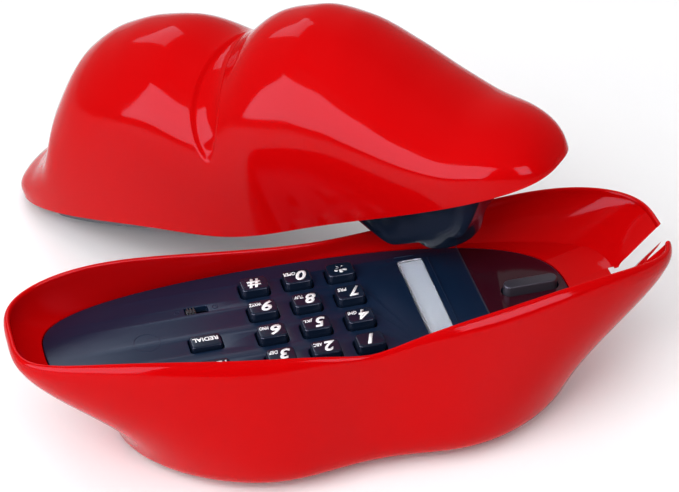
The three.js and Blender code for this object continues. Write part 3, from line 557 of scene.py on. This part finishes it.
def make_base_shell():
    slices = [shell_slice(a) for a in tight_angles(300)]
    points = [p for row in slices for p in row]
    shell = mesh_object("lower_lip", points, grid_faces(len(slices), len(slices[0]), True, True))
    middle_z = SLOT["z"] + SLOT["tall"] / 2
    slot_loop = rounded_loop(SLOT["wide"], SLOT["tall"], SLOT["corner"], SLOT["y"], middle_z)
    slot = loft("slot_tool", [[(x, y, z) for y, z, _ in slot_loop] for x in (SLOT["x"], SLOT["far_x"])])
    mouths = []
    for x, wide in JACKS.values():
        size = (wide + JACK_MOUTH["clear"], JACK_MOUTH["deep"], JACK_MOUTH["tall"])
        mouths.append(block(f"mouth_{x}", size, (x, JACK_Y + JACK_MOUTH["back"], JACK_Z + JACK_MOUTH["up"])))
    return smooth(cut(shell, slot, *channel_tools(), *mouths), 38)


piece(make_base_shell(), "base", RED, "red_gloss", "base_shell")


def plate_frame():
    """The raised frame on the underside, round the place of a rating label."""
    y, long, deep, rail = (PLATE_FRAME[key] for key in ("y", "long", "deep", "rail"))
    rails = [(long, rail, 0, y + away) for away in (-deep / 2, deep / 2)]
    rails += [(rail, deep, away, y) for away in (-long / 2, long / 2)]
    z0, z1, radius, edge = FOOT_H, PLATE_FRAME["top"], 0.3, 0.15
    return [soft_block("rail", wide, deep, z0, z1, x, y, radius, edge) for wide, deep, x, y in rails]


def make_bottom_plate():
    bottom = FOOT_H + GAP
    outline = [bowl_point(a, 0, WALL + GAP + 0.1) for a in tight_angles(160)]
    holes = []
    for size, spots in ((PLATE["screw_hole"], SCREW_SPOTS), (PLATE["foot_hole"], FOOT_SPOTS)):
        holes += [rounded_loop(size, size, size / 2, x, y) for x, y in spots]
    plate = flat_plate("bottom_plate", outline, holes, bottom, PLATE["top"], PLATE["edge"])
    marks = [
        ring(f"mark_{x}", x, PLATE_FRAME["y"], bottom, PLATE_MARK["radius"], PLATE_MARK["wire"])
        for x in (-PLATE_MARK["x"], PLATE_MARK["x"])
    ]
    return join([plate, *marks, *plate_frame()], "bottom_plate")


piece(smooth(make_bottom_plate(), 40), "base", COVER, "dark_cover", "base_bottom_plate")

for number, spot in enumerate(FOOT_SPOTS, 1):
    rubber_foot = smooth(turned(f"rubber_foot_{number}", FOOT_PROFILE, spot), 40)
    piece(rubber_foot, "base", RUBBER, "rubber", f"foot_{number}")


def make_screw(name, at, seat, kind, place):
    """A pan-head screw, head down, with a cross recess."""
    head, shank, length = SCREW["head"], kind["shank"], kind["length"]
    profile = [(0, 0), (head * 0.6, 0.05), (head * 0.92, 0.35), (head, 0.8), (head, 1.2), (shank, 1.4),
               (shank, length - 0.8), (0, length)]
    screw = turned(name, [(r, seat + z) for r, z in profile], at, place, 28)
    long, wide, deep = SCREW["cross_long"], SCREW["cross_wide"], SCREW["cross_deep"]
    sizes = ((long, wide, deep), (wide, long, deep))
    bars = [block("bar", size, (at[0], at[1], seat), place) for size in sizes]
    return smooth(cut(screw, *bars), 35)


for number, spot in enumerate(SCREW_SPOTS, 1):
    screw = make_screw(f"cross_screw_{number}", spot, SCREW_SEAT_Z, BOTTOM_SCREW, BASE_PLACE)
    piece(screw, "base", STEEL, "steel", f"bottom_screw_{number}")


# ---------------------------------------------------------------- keypad panel
KEY_ROWS = [
    [("3", "3", "DEF"), ("2", "2", "ABC"), ("1", "1", "")],
    [("6", "6", "MNO"), ("5", "5", "JKL"), ("4", "4", "GHI")],
    [("9", "9", "WXYZ"), ("8", "8", "TUV"), ("7", "7", "PRS")],
    [("hash", "#", ""), ("0", "0", "OPER"), ("star", "*", "")],
]
KEY_SPOTS = [
    (name, digit, letters, KEYS["x"] + (c - 1) * KEYS["pitch_x"], KEYS["y"] + (r - 1.5) * KEYS["pitch_y"])
    for r, row in enumerate(KEY_ROWS) for c, (name, digit, letters) in enumerate(row)
]
SIDE_SPOTS = [
    ("redial", "REDIAL", SIDE_KEYS["x"], SIDE_KEYS["y"]),
    ("flash", "FLASH", SIDE_KEYS["x"], SIDE_KEYS["y"] - SIDE_KEYS["pitch_y"]),
]


def panel_outline(gap):
    return [panel_edge(a, 0, gap) for a in tight_angles(200, 0.6)]


def panel_openings():
    openings = []
    for size, spots in ((KEYS, KEY_SPOTS), (SIDE_KEYS, SIDE_SPOTS)):
        wide, deep = size["wide"] + size["clear"], size["deep"] + size["clear"]
        openings += [rounded_loop(wide, deep, size["hole_corner"], x, y) for *_, x, y in spots]
    openings.append(rounded_loop(TONE["long"], TONE["wide"], 0.5, TONE["x"], TONE["y"]))
    openings.append(rounded_loop(LABEL["wide"], LABEL["long"], 0.6, LABEL["x"], LABEL["y"]))
    wide, deep = HOOK["long"] + 1, HOOK["wide"] + 1
    openings.append(rounded_loop(wide, deep, HOOK["wide"] / 2 + 0.4, HOOK["x"], HOOK["y"]))
    return openings


def label_ribs():
    """A fine rib beside the label window and another across its far end."""
    x, y, z = LABEL["x"], LABEL["y"], PANEL["top"]
    return [
        soft_block("rib", 0.45, LABEL["long"], z - 0.4, z + 0.32, x + 6.3, y, 0.2, 0.12),
        soft_block("rib", 6.5, 0.5, z - 0.4, z + 0.3, x - 1.2, y + 26.4, 0.2, 0.12),
    ]


def panel_marks():
    """The moulding's eject mark and a dimple at each end of the tone switch."""
    x, y, radius, wire = (EJECT_MARK[key] for key in ("x", "y", "radius", "wire"))
    marks = [ring("eject_mark", x, y, PANEL["top"] - 0.09, radius, wire)]
    away, radius, wire = (SWITCH_DIMPLE[key] for key in ("away", "radius", "wire"))
    for x in (TONE["x"] - away, TONE["x"] + away):
        marks.append(ring("switch_dimple", x, TONE["y"], PANEL["top"] - 0.1, radius, wire))
    return marks


def make_panel():
    z = PANEL["top"]
    plate = flat_plate("plate", panel_outline(GAP + 0.1), panel_openings(), z - PANEL["thick"], z, 0.28)
    tray = soft_block("tray", LABEL["wide"] + 3, LABEL["long"] + 1.2, z - 4, z - 2.3, LABEL["x"], LABEL["y"])
    return smooth(join([plate, tray, *panel_marks(), *label_ribs()], "keypad_plate"), 40)


piece(make_panel(), "base", SATIN, "panel_satin", "keypad_panel")


def make_gloss_field():
    """The right end of the panel is polished: a thin field round the hook bar. Its dark red colour is painted
    reflection of the red lip wall; its gloss is real.
    """
    outline = [(x, y) for x, y, _ in panel_outline(GAP + 0.5) if x > PANEL_STEP_X]
    outline.sort(key=lambda p: math.atan2(p[1] - HOOK["y"], p[0] - PANEL_STEP_X))
    wide, deep = HOOK["long"] + 1.2, HOOK["wide"] + 1.2
    hole = rounded_loop(wide, deep, HOOK["wide"] / 2 + 0.5, HOOK["x"], HOOK["y"])
    return flat_plate("gloss_field", outline, [hole], PANEL["top"] - 0.3, PANEL["top"] + 0.04, 0.02)


def make_panel_highlight_line():
    """The fine line between the satin field and the gloss field: a low bead at the step, its lighter grey a
    painted highlight on the step's edge.
    """
    wide, long = PANEL_HIGHLIGHT_LINE["wide"], PANEL_HIGHLIGHT_LINE["long"]
    low, high = PANEL["top"] - 0.3, PANEL["top"] + 0.1
    return soft_block("panel_highlight_line", wide, long, low, high, PANEL_STEP_X, PANEL_HIGHLIGHT_LINE["y"], 0.14, 0.08)


# the gloss field's dark red colour is painted reflection of the red wall
piece(make_gloss_field(), "base", PANEL_GLOSS_PAINTED_REFLECTION, "panel_satin")
# lighter grey bead: painted highlight on the edge of the step
piece(make_panel_highlight_line(), "base", HOOK_BAR, "panel_satin")


# ---------------------------------------------------------------- keys and their printing
def lettering(name, text, wide, tall, x, y, z, slant=0.0):
    """Printed characters of a given width and height, turned to face the far side of the phone."""
    curve = bpy.data.curves.new(name, "FONT")
    curve.body = text
    curve.size = 1.0
    curve.shear = slant
    curve.offset = PRINT["bolder"]
    curve.resolution_u = 3
    maker = bpy.data.objects.new(name + "_curve", curve)
    bpy.context.scene.collection.objects.link(maker)
    graph = bpy.context.evaluated_depsgraph_get()
    mesh = bpy.data.meshes.new_from_object(maker.evaluated_get(graph))
    bpy.data.objects.remove(maker)
    co = np.array([v.co for v in mesh.vertices])
    low, high = co.min(0), co.max(0)
    scale = [wide / (high[0] - low[0]), tall / (high[1] - low[1])]
    flat = (co[:, :2] - (low[:2] + high[:2]) / 2) * scale
    for vertex, (u, v) in zip(mesh.vertices, flat):
        vertex.co = (x - u, y - v, z)
    bm = bmesh.new()
    bm.from_mesh(mesh)
    bmesh.ops.remove_doubles(bm, verts=bm.verts, dist=PRINT_WELD)
    bmesh.ops.recalc_face_normals(bm, faces=bm.faces)
    made = bmesh.ops.extrude_face_region(bm, geom=bm.faces[:])
    raised = [v for v in made["geom"] if isinstance(v, bmesh.types.BMVert)]
    bmesh.ops.translate(bm, verts=raised, vec=(0, 0, -PRINT["thick"]))
    bmesh.ops.recalc_face_normals(bm, faces=bm.faces)
    bm.to_mesh(mesh)
    bm.free()
    mesh.transform(BASE_PLACE)
    mesh.materials.clear()
    obj = bpy.data.objects.new(name, mesh)
    bpy.context.scene.collection.objects.link(obj)
    return obj


def make_key(name, size, x, y):
    """A key's cap, and the flange under the panel that keeps it in."""
    wide, deep = size["wide"], size["deep"]
    low, high = PANEL["top"] - KEY_CAP["skirt"], size["top"]
    cap = soft_block("cap", wide, deep, low, high, x, y, size["corner"], KEY_CAP["edge"], KEY_CAP["draft"])
    flange = soft_block(
        "flange", wide + KEY_FLANGE["wider"], deep + KEY_FLANGE["wider"], KEYS["bottom"], PANEL_UNDER, x, y,
        KEY_FLANGE["radius"], KEY_FLANGE["edge"],
    )
    return join([cap, flange], name)


def print_digit(name, digit, x, y, z):
    wide, tall = DIGIT_SIZES.get(digit, DIGIT["size"])
    slant = 0 if digit in "#*" else DIGIT["slant"]
    return lettering(f"print_{name}", digit, wide, tall, x, y, z, slant)


def print_letters(name, letters, x, y, z):
    wide = LETTERS["wide"] * len(letters) + LETTERS["extra"]
    at = (x - LETTERS["left"], y + LETTERS["back"], z)
    return lettering(f"print_{name}_letters", letters, wide, LETTERS["tall"], *at, LETTERS["slant"])


for name, digit, letters, x, y in KEY_SPOTS:
    body = f"key_{name}"
    piece(make_key(f"button_{name}", KEYS, x, y), body, KEY, "key_dark", body)
    print_z = KEYS["top"] + PRINT["above"]
    digit_x = x + DIGIT["right"] if letters else x
    piece(print_digit(name, digit, digit_x, y, print_z), body, LEGEND, "label_card")
    if letters:
        piece(print_letters(name, letters, x, y, print_z), body, LEGEND, "label_card")

for name, word, x, y in SIDE_SPOTS:
    body = f"key_{name}"
    piece(make_key(f"button_{name}", SIDE_KEYS, x, y), body, KEY, "key_dark", body)
    print_z = SIDE_KEYS["top"] + PRINT["above"]
    word_print = lettering(f"print_{name}", word, WORD["wide"], WORD["tall"], x, y + WORD["back"], print_z)
    piece(word_print, body, LEGEND, "label_card")


# ---------------------------------------------------------------- tone switch, label, hook
def make_tone_knob():
    """The switch's lever at one end of its slot, with three grip ridges."""
    x, y, z = TONE["x"] - TONE["travel"] / 2, TONE["y"], PANEL["top"]
    lever = soft_block("lever", 3.2, 2.5, z - 2.6, z - 0.3, x, y, 0.4, 0.2)
    ridges = [soft_block("ridge", 0.5, 2.4, z - 0.5, z + 0.5, x + away, y, 0.2, 0.18) for away in (-1, 0, 1)]
    return join([lever, *ridges], "tone_slider")


def make_card():
    low, high = LABEL["card_z"], LABEL["card_z"] + LABEL["card_thick"]
    wide, long = LABEL["wide"] - 0.8, LABEL["long"] - 0.8
    return soft_block("paper_label", wide, long, low, high, LABEL["x"], LABEL["y"], 0.3, 0.05)


def make_window():
    low, high = PANEL["top"] - LABEL["window_deep"], PANEL["top"] + LABEL["window_proud"]
    wide, long = LABEL["wide"] - 0.6, LABEL["long"] - 0.6
    return soft_block("label_cover", wide, long, low, high, LABEL["x"], LABEL["y"], 0.5, 0.5)


def make_hook():
    """The bar that the handset presses, its shoulder under the panel and the stem that guides it."""
    x, y, long, wide = HOOK["x"], HOOK["y"], HOOK["long"], HOOK["wide"]
    bar = soft_block("bar", long, wide, HOOK["foot"], HOOK["top"], x, y, wide / 2, 0.55, 0.1)
    shoulder = soft_block("shoulder", long - 1, wide + 3, HOOK["shoulder"], PANEL_UNDER, x, y, 1.5, 0.2)
    low, high = HOOK["stem"], HOOK["foot"] - 0.4
    stem = turned("stem", [(0, low), (1.1, low), (1.5, low + 0.4), (1.5, high), (0, high)], (x, y))
    return join([bar, shoulder, smooth(stem, 40)], "hook_bar")


piece(make_tone_knob(), "tone_switch", SOCKET, "key_dark", "tone_switch_knob")
piece(make_card(), "base", CARD, "label_card", "label_card")
piece(make_window(), "base", WINDOW, "clear_plastic", "label_window")
piece(make_hook(), "hook_button", HOOK_BAR, "key_dark", "hook_plunger")


# ---------------------------------------------------------------- sockets in the back wall
def make_socket(name, x, wide):
    """A modular socket: a moulded body with a cavity for the plug and a notch for its latch."""
    size = (wide + JACK_BODY["walls"], JACK_BODY["deep"], JACK_BODY["tall"])
    body = block("body", size, (x, JACK_Y + JACK_BODY["back"], JACK_Z + JACK_BODY["up"]))
    bevel_sharp(body, JACK_BODY["bevel"])
    y = JACK_Y + JACK_CAVITY["back"]
    deep = JACK_CAVITY["deep"]
    cavity = block("cavity", (wide, deep, JACK_CAVITY["tall"]), (x, y, JACK_Z + JACK_CAVITY["up"]))
    latch_size = (JACK_CAVITY["latch_wide"], deep, JACK_CAVITY["latch_tall"])
    latch = block("latch", latch_size, (x, y, JACK_Z + JACK_CAVITY["latch_up"]))
    return smooth(cut(body, cavity, latch), 30)


def make_contacts(name, x):
    """The sprung wires inside a socket."""
    wires = []
    for i in range(CONTACT["count"]):
        wire_x = x + (i - (CONTACT["count"] - 1) / 2) * CONTACT["pitch"]
        points = [(wire_x, JACK_Y + y, JACK_Z + z) for y, z in CONTACT_BEND]
        wires.append(tube("wire", points, CONTACT["radius"]))
    return join(wires, name)


for kind, (x, wide) in JACKS.items():
    piece(make_socket(f"{kind}_socket", x, wide), "base", SOCKET, "socket_plastic", f"{kind}_jack")
    piece(make_contacts(f"{kind}_contacts", x), "base", GOLD, "steel")


# ---------------------------------------------------------------- the upper lip
def handset_rim_z(x, half):
    a = abs(x) / half
    return HANDSET["tip_rise"] * a * a - HANDSET["tubercle"] * bell(a, HANDSET["tubercle_width"])


def through(knots, at):
    """A smooth curve through knots (at, value) that never overshoots them."""
    spans = len(knots) - 1
    slopes = [(knots[i + 1][1] - knots[i][1]) / (knots[i + 1][0] - knots[i][0]) for i in range(spans)]

    def tangent(i):
        if i in (0, spans):
            return slopes[min(i, spans - 1)]
        before, after = slopes[i - 1], slopes[i]
        return 2 * before * after / (before + after) if before * after > 0 else 0.0

    i = 0
    while i < spans - 1 and at > knots[i + 1][0]:
        i += 1
    span = knots[i + 1][0] - knots[i][0]
    t = (at - knots[i][0]) / span
    lean = t * (1 - t) * span * ((1 - t) * tangent(i) - t * tangent(i + 1))
    return knots[i][1] + (knots[i + 1][1] - knots[i][1]) * t * t * (3 - 2 * t) + lean


def groove(x, angle):
    """Depth of the leaf-shaped groove of the cupid's bow, with a crease along each side."""
    u = (math.degrees(angle) - GROOVE["low"]) / (GROOVE["high"] - GROOVE["low"])
    if not 0 < u < 1:
        return 0.0
    reach = GROOVE["half_width"] * math.sin(math.pi * u ** GROOVE["lean"])
    side = min(1.0, max(0.0, (reach + GROOVE["step"] / 2 - abs(x)) / GROOVE["step"]))
    fade = min(1.0, 2 * reach / GROOVE["half_width"])
    return GROOVE["depth"] * fade * side * side * (3 - 2 * side)


def lip_point(s, angle, inset=0.0):
    """A point on the lip: s runs from its left tip, -1, to its right, 1, and angle over it from the front."""
    half = HANDSET["half"] - inset
    a = abs(s)
    width = max(0.0, 1 - a * a) ** HANDSET["rim_power"]
    share = through(CREST_LINE, s) * math.sqrt(max(0.0, 1 - a ** HANDSET["tip_power"]))
    crest = (HANDSET["crest"] - inset) * share - HANDSET["notch"] * bell(a, HANDSET["notch_width"])
    rim_z = handset_rim_z(s * half, half)
    up, across = math.sin(angle), math.cos(angle)
    swell = 1 + HANDSET["bulge"] * math.sin(2 * min(angle, math.pi - angle)) ** 2
    reach = (-(HANDSET["front"] - inset) if across > 0 else HANDSET["back"] - inset) * width * swell
    y = reach * abs(across) ** HANDSET["side_power"]
    z = rim_z * (1 - up) + max(crest, rim_z) * max(0.0, up) ** HANDSET["side_power"]
    if inset == 0:
        deep = groove(s * half, angle)
        y += deep * across
        z -= deep * up
    return (s * half, y, z)


def lip_stations():
    """Places along the lip: closer together at the tips and across the groove."""
    steps, fine_step, fine_count, fine_end = 110, 0.4, 20, 8.2
    ends = [math.sin(math.pi / 2 * i / steps) for i in range(1, steps + 1)]
    right = [i * fine_step / HANDSET["half"] for i in range(1, fine_count)]
    right += [e for e in ends if e > fine_end / HANDSET["half"]]
    return [-s for s in reversed(right)] + [0.0] + right


def make_upper_lip():
    outer_steps, inner_steps = 120, 24
    loops = []
    for s in lip_stations():
        outer = [lip_point(s, math.pi * (i / outer_steps)) for i in range(outer_steps + 1)]
        inner = [lip_point(s, math.pi * i / inner_steps, WALL + GAP) for i in range(inner_steps + 1)]
        loops.append(outer + inner[::-1])
    points = [p for loop in loops for p in loop]
    faces = grid_faces(len(loops), len(loops[0]), closed_cols=True)
    return mesh_object("upper_lip", points, faces, HANDSET_PLACE)


def close_holes(obj):
    bm = bmesh.new()
    bm.from_mesh(obj.data)
    bmesh.ops.holes_fill(bm, edges=[e for e in bm.edges if e.is_boundary])
    bmesh.ops.recalc_face_normals(bm, faces=bm.faces)
    bm.to_mesh(obj.data)
    bm.free()


upper_lip = make_upper_lip()
close_holes(upper_lip)
piece(smooth(upper_lip, 42), "handset", RED, "red_gloss", "handset_shell")


def ease(value):
    t = min(1.0, max(0.0, value))
    return t * t * (3 - 2 * t)


def cover_half(x, side):
    inset = WALL + GAP + HANDSET_COVER["side_gap"]
    width = max(0.0, 1 - (x / (HANDSET["half"] - inset)) ** 2) ** HANDSET["rim_power"]
    return width * ((HANDSET["front"] if side < 0 else HANDSET["back"]) - inset)


def pod_depth(x, y, pod):
    dx = (x - pod["x"]) * math.copysign(1, pod["x"])
    endways = (pod["tipward"] - dx) / pod["tip_ramp"] if dx > 0 else (pod["inward"] + dx) / pod["inward_ramp"]
    edge = abs(y) / cover_half(x, y)
    return pod["depth"] * ease(endways) * ease((POD_SIDE["edge"] - edge) / POD_SIDE["ramp"])


def cover_bottom(x, y):
    away = math.hypot(x - MOUTH_CUP["x"], y - MOUTH_CUP["y"])
    cup = ease((1 - away / MOUTH_CUP["radius"]) / MOUTH_CUP["wall"])
    pods = pod_depth(x, y, MOUTH_POD) + pod_depth(x, y, EAR_POD) + MOUTH_CUP["depth"] * cup
    return handset_rim_z(x, HANDSET["half"] - WALL) + HANDSET_COVER["z"] - pods


def grille_spots(pod, rings):
    spots = [(pod["x"], pod["y"])]
    for radius, count in rings:
        turns = [2 * math.pi * i / count for i in range(count)]
        spots += [(pod["x"] + radius * math.cos(a), pod["y"] + radius * math.sin(a)) for a in turns]
    return spots


def spread(i, count, pull):
    """From -1 to 1 in count steps, closer together near both ends."""
    return math.sin((i / count * 2 - 1) * pull) / math.sin(pull)


def cover_tools():
    """What is cut out of the cover: screw bores, the cord's socket and the holes of both grilles."""
    bore, hole = ([(0, low), (radius, low), (radius, high), (0, high)] for radius, low, high in COVER_CUTS)
    tools = [turned("bore", bore, (x, 0), HANDSET_PLACE, 20) for x in HANDSET_POSTS]
    socket = (COVER_JACK["wide"], COVER_JACK["deep"], 12)
    tools.append(block("socket", socket, (COVER_JACK["x"], 0, 2), HANDSET_PLACE))
    spots = grille_spots(MOUTH_CUP, MOUTH_GRILLE) + grille_spots(EAR_POD, EAR_GRILLE)
    return tools + [turned("hole", hole, spot, HANDSET_PLACE, 10) for spot in spots]


def make_cover():
    columns, across = 200, 72
    loops = []
    for i in range(columns + 1):
        x = HANDSET_COVER["end"] * spread(i, columns, 1.35)
        below = []
        for j in range(across + 1):
            v = spread(j, across, math.pi / 2 * 0.8)
            y = v * cover_half(x, v)
            below.append((x, y, cover_bottom(x, y)))
        above = [(px, py, pz + HANDSET_COVER["thick"]) for px, py, pz in reversed(below)]
        loops.append(below + above)
    return cut(loft("cover", loops, HANDSET_PLACE), *cover_tools())


piece(smooth(make_cover(), 35), "handset", COVER, "dark_cover", "handset_cover")

for number, x in enumerate(HANDSET_POSTS, 1):
    seat = cover_bottom(x, 0) - HANDSET_SCREW["sunk"]
    screw = make_screw(f"handset_fixing_{number}", (x, 0), seat, HANDSET_SCREW, HANDSET_PLACE)
    piece(screw, "handset", STEEL, "steel", f"handset_screw_{number}")

# ---------------------------------------------------------------- CAD pieces that are already right
record_slots = {entry["node"]: entry["material_slot"] for entry in frame["record"]["subparts"]}
for name, obj in frame["nodes"].items():
    if not obj.hide_render:
        paint(obj, BY_SLOT[record_slots[name]])

# ---------------------------------------------------------------- floor, light, camera
FLOOR = plastic("pale_floor", (0.86, 0.86, 0.87), 0.55, 0.05, grain=300, bump=0.01, tint=0.01)
floor = block("floor", (6000, 6000, 10), (0, 0, -5.05), Matrix.Scale(MM, 4))
paint(floor, FLOOR)
LIGHT_AIM = Vector((0, 0, 0.05))
SOFTBOX_TINT, SHEEN_TINT = (0.9, 0.88, 1.15), (0.8, 0.9, 1.1)


def area_light(name, azimuth, elevation, distance, wide, tall, power, glossy=True, diffuse=True,
               colour=(1, 1, 1)):
    """A soft box that faces the phone, in metres: azimuth runs from its front (-Y) towards +X."""
    light = bpy.data.lights.new(name, "AREA")
    light.shape = "RECTANGLE"
    light.size, light.size_y = wide, tall
    light.energy = power
    light.color = colour
    obj = bpy.data.objects.new(name, light)
    bpy.context.scene.collection.objects.link(obj)
    a, e = math.radians(azimuth), math.radians(elevation)
    way = Vector((math.sin(a) * math.cos(e), -math.cos(a) * math.cos(e), math.sin(e)))
    obj.location = LIGHT_AIM + way * distance
    obj.rotation_euler = way.to_track_quat("Z", "Y").to_euler()
    obj.visible_glossy = glossy
    obj.visible_diffuse = diffuse


area_light("softbox_wide", -57, 24, 0.95, 1.5, 0.7, 34, diffuse=False, colour=SOFTBOX_TINT)
area_light("softbox_right", 26, 22, 1, 0.4, 0.5, 7, diffuse=False, colour=SOFTBOX_TINT)
area_light("key_light", -60, 40, 1.2, 1, 0.8, 12, glossy=False)
area_light("panel_sheen", 196, 38, 1.2, 0.5, 0.5, 3.2, diffuse=False, colour=SHEEN_TINT)
area_light("top_fill", -10, 78, 1.6, 1.6, 1.6, 14, glossy=False)
area_light("front_fill", 10, 38, 1.8, 1.4, 1.2, 12, glossy=False)
area_light("back_fill", 170, 40, 1.8, 1.4, 1.2, 7, glossy=False)


def make_world(front, back, strength):
    """Light from all round that grows from the front of the scene to its back."""
    world = bpy.data.worlds.new("studio")
    bpy.context.scene.world = world
    world.use_nodes = True
    nodes, links = world.node_tree.nodes, world.node_tree.links
    background = nodes["Background"]
    where = nodes.new("ShaderNodeTexCoord")
    split = nodes.new("ShaderNodeSeparateXYZ")
    links.new(where.outputs["Generated"], split.inputs["Vector"])
    depth = nodes.new("ShaderNodeMapRange")
    depth.inputs["From Min"].default_value = -0.7
    depth.inputs["From Max"].default_value = 1.0
    links.new(split.outputs["Y"], depth.inputs["Value"])
    ramp = nodes.new("ShaderNodeValToRGB")
    ramp.color_ramp.elements[0].color = (*front, 1)
    ramp.color_ramp.elements[1].color = (*back, 1)
    links.new(depth.outputs["Result"], ramp.inputs["Fac"])
    links.new(ramp.outputs["Color"], background.inputs["Color"])
    background.inputs["Strength"].default_value = strength


def make_camera(place, right, up, ahead, lens):
    data = bpy.data.cameras.new("camera")
    camera = bpy.data.objects.new("camera", data)
    bpy.context.scene.collection.objects.link(camera)
    data.sensor_width = 36
    data.lens = lens
    data.clip_end = 20
    camera.location = BASE_PLACE @ Vector(place)
    camera.rotation_euler = Matrix((right, up, [-v for v in ahead])).transposed().to_euler()
    bpy.context.scene.camera = camera


make_world(front=(0.05, 0.05, 0.055), back=(1, 1, 1), strength=0.5)
make_camera(
    place=(-163.2, -589, 547.6), right=(0.9649, -0.2627, 0), up=(0.1626, 0.597, 0.7856),
    ahead=(0.2064, 0.758, -0.6187), lens=132.548,
)
bpy.context.scene.view_settings.view_transform = "Standard"
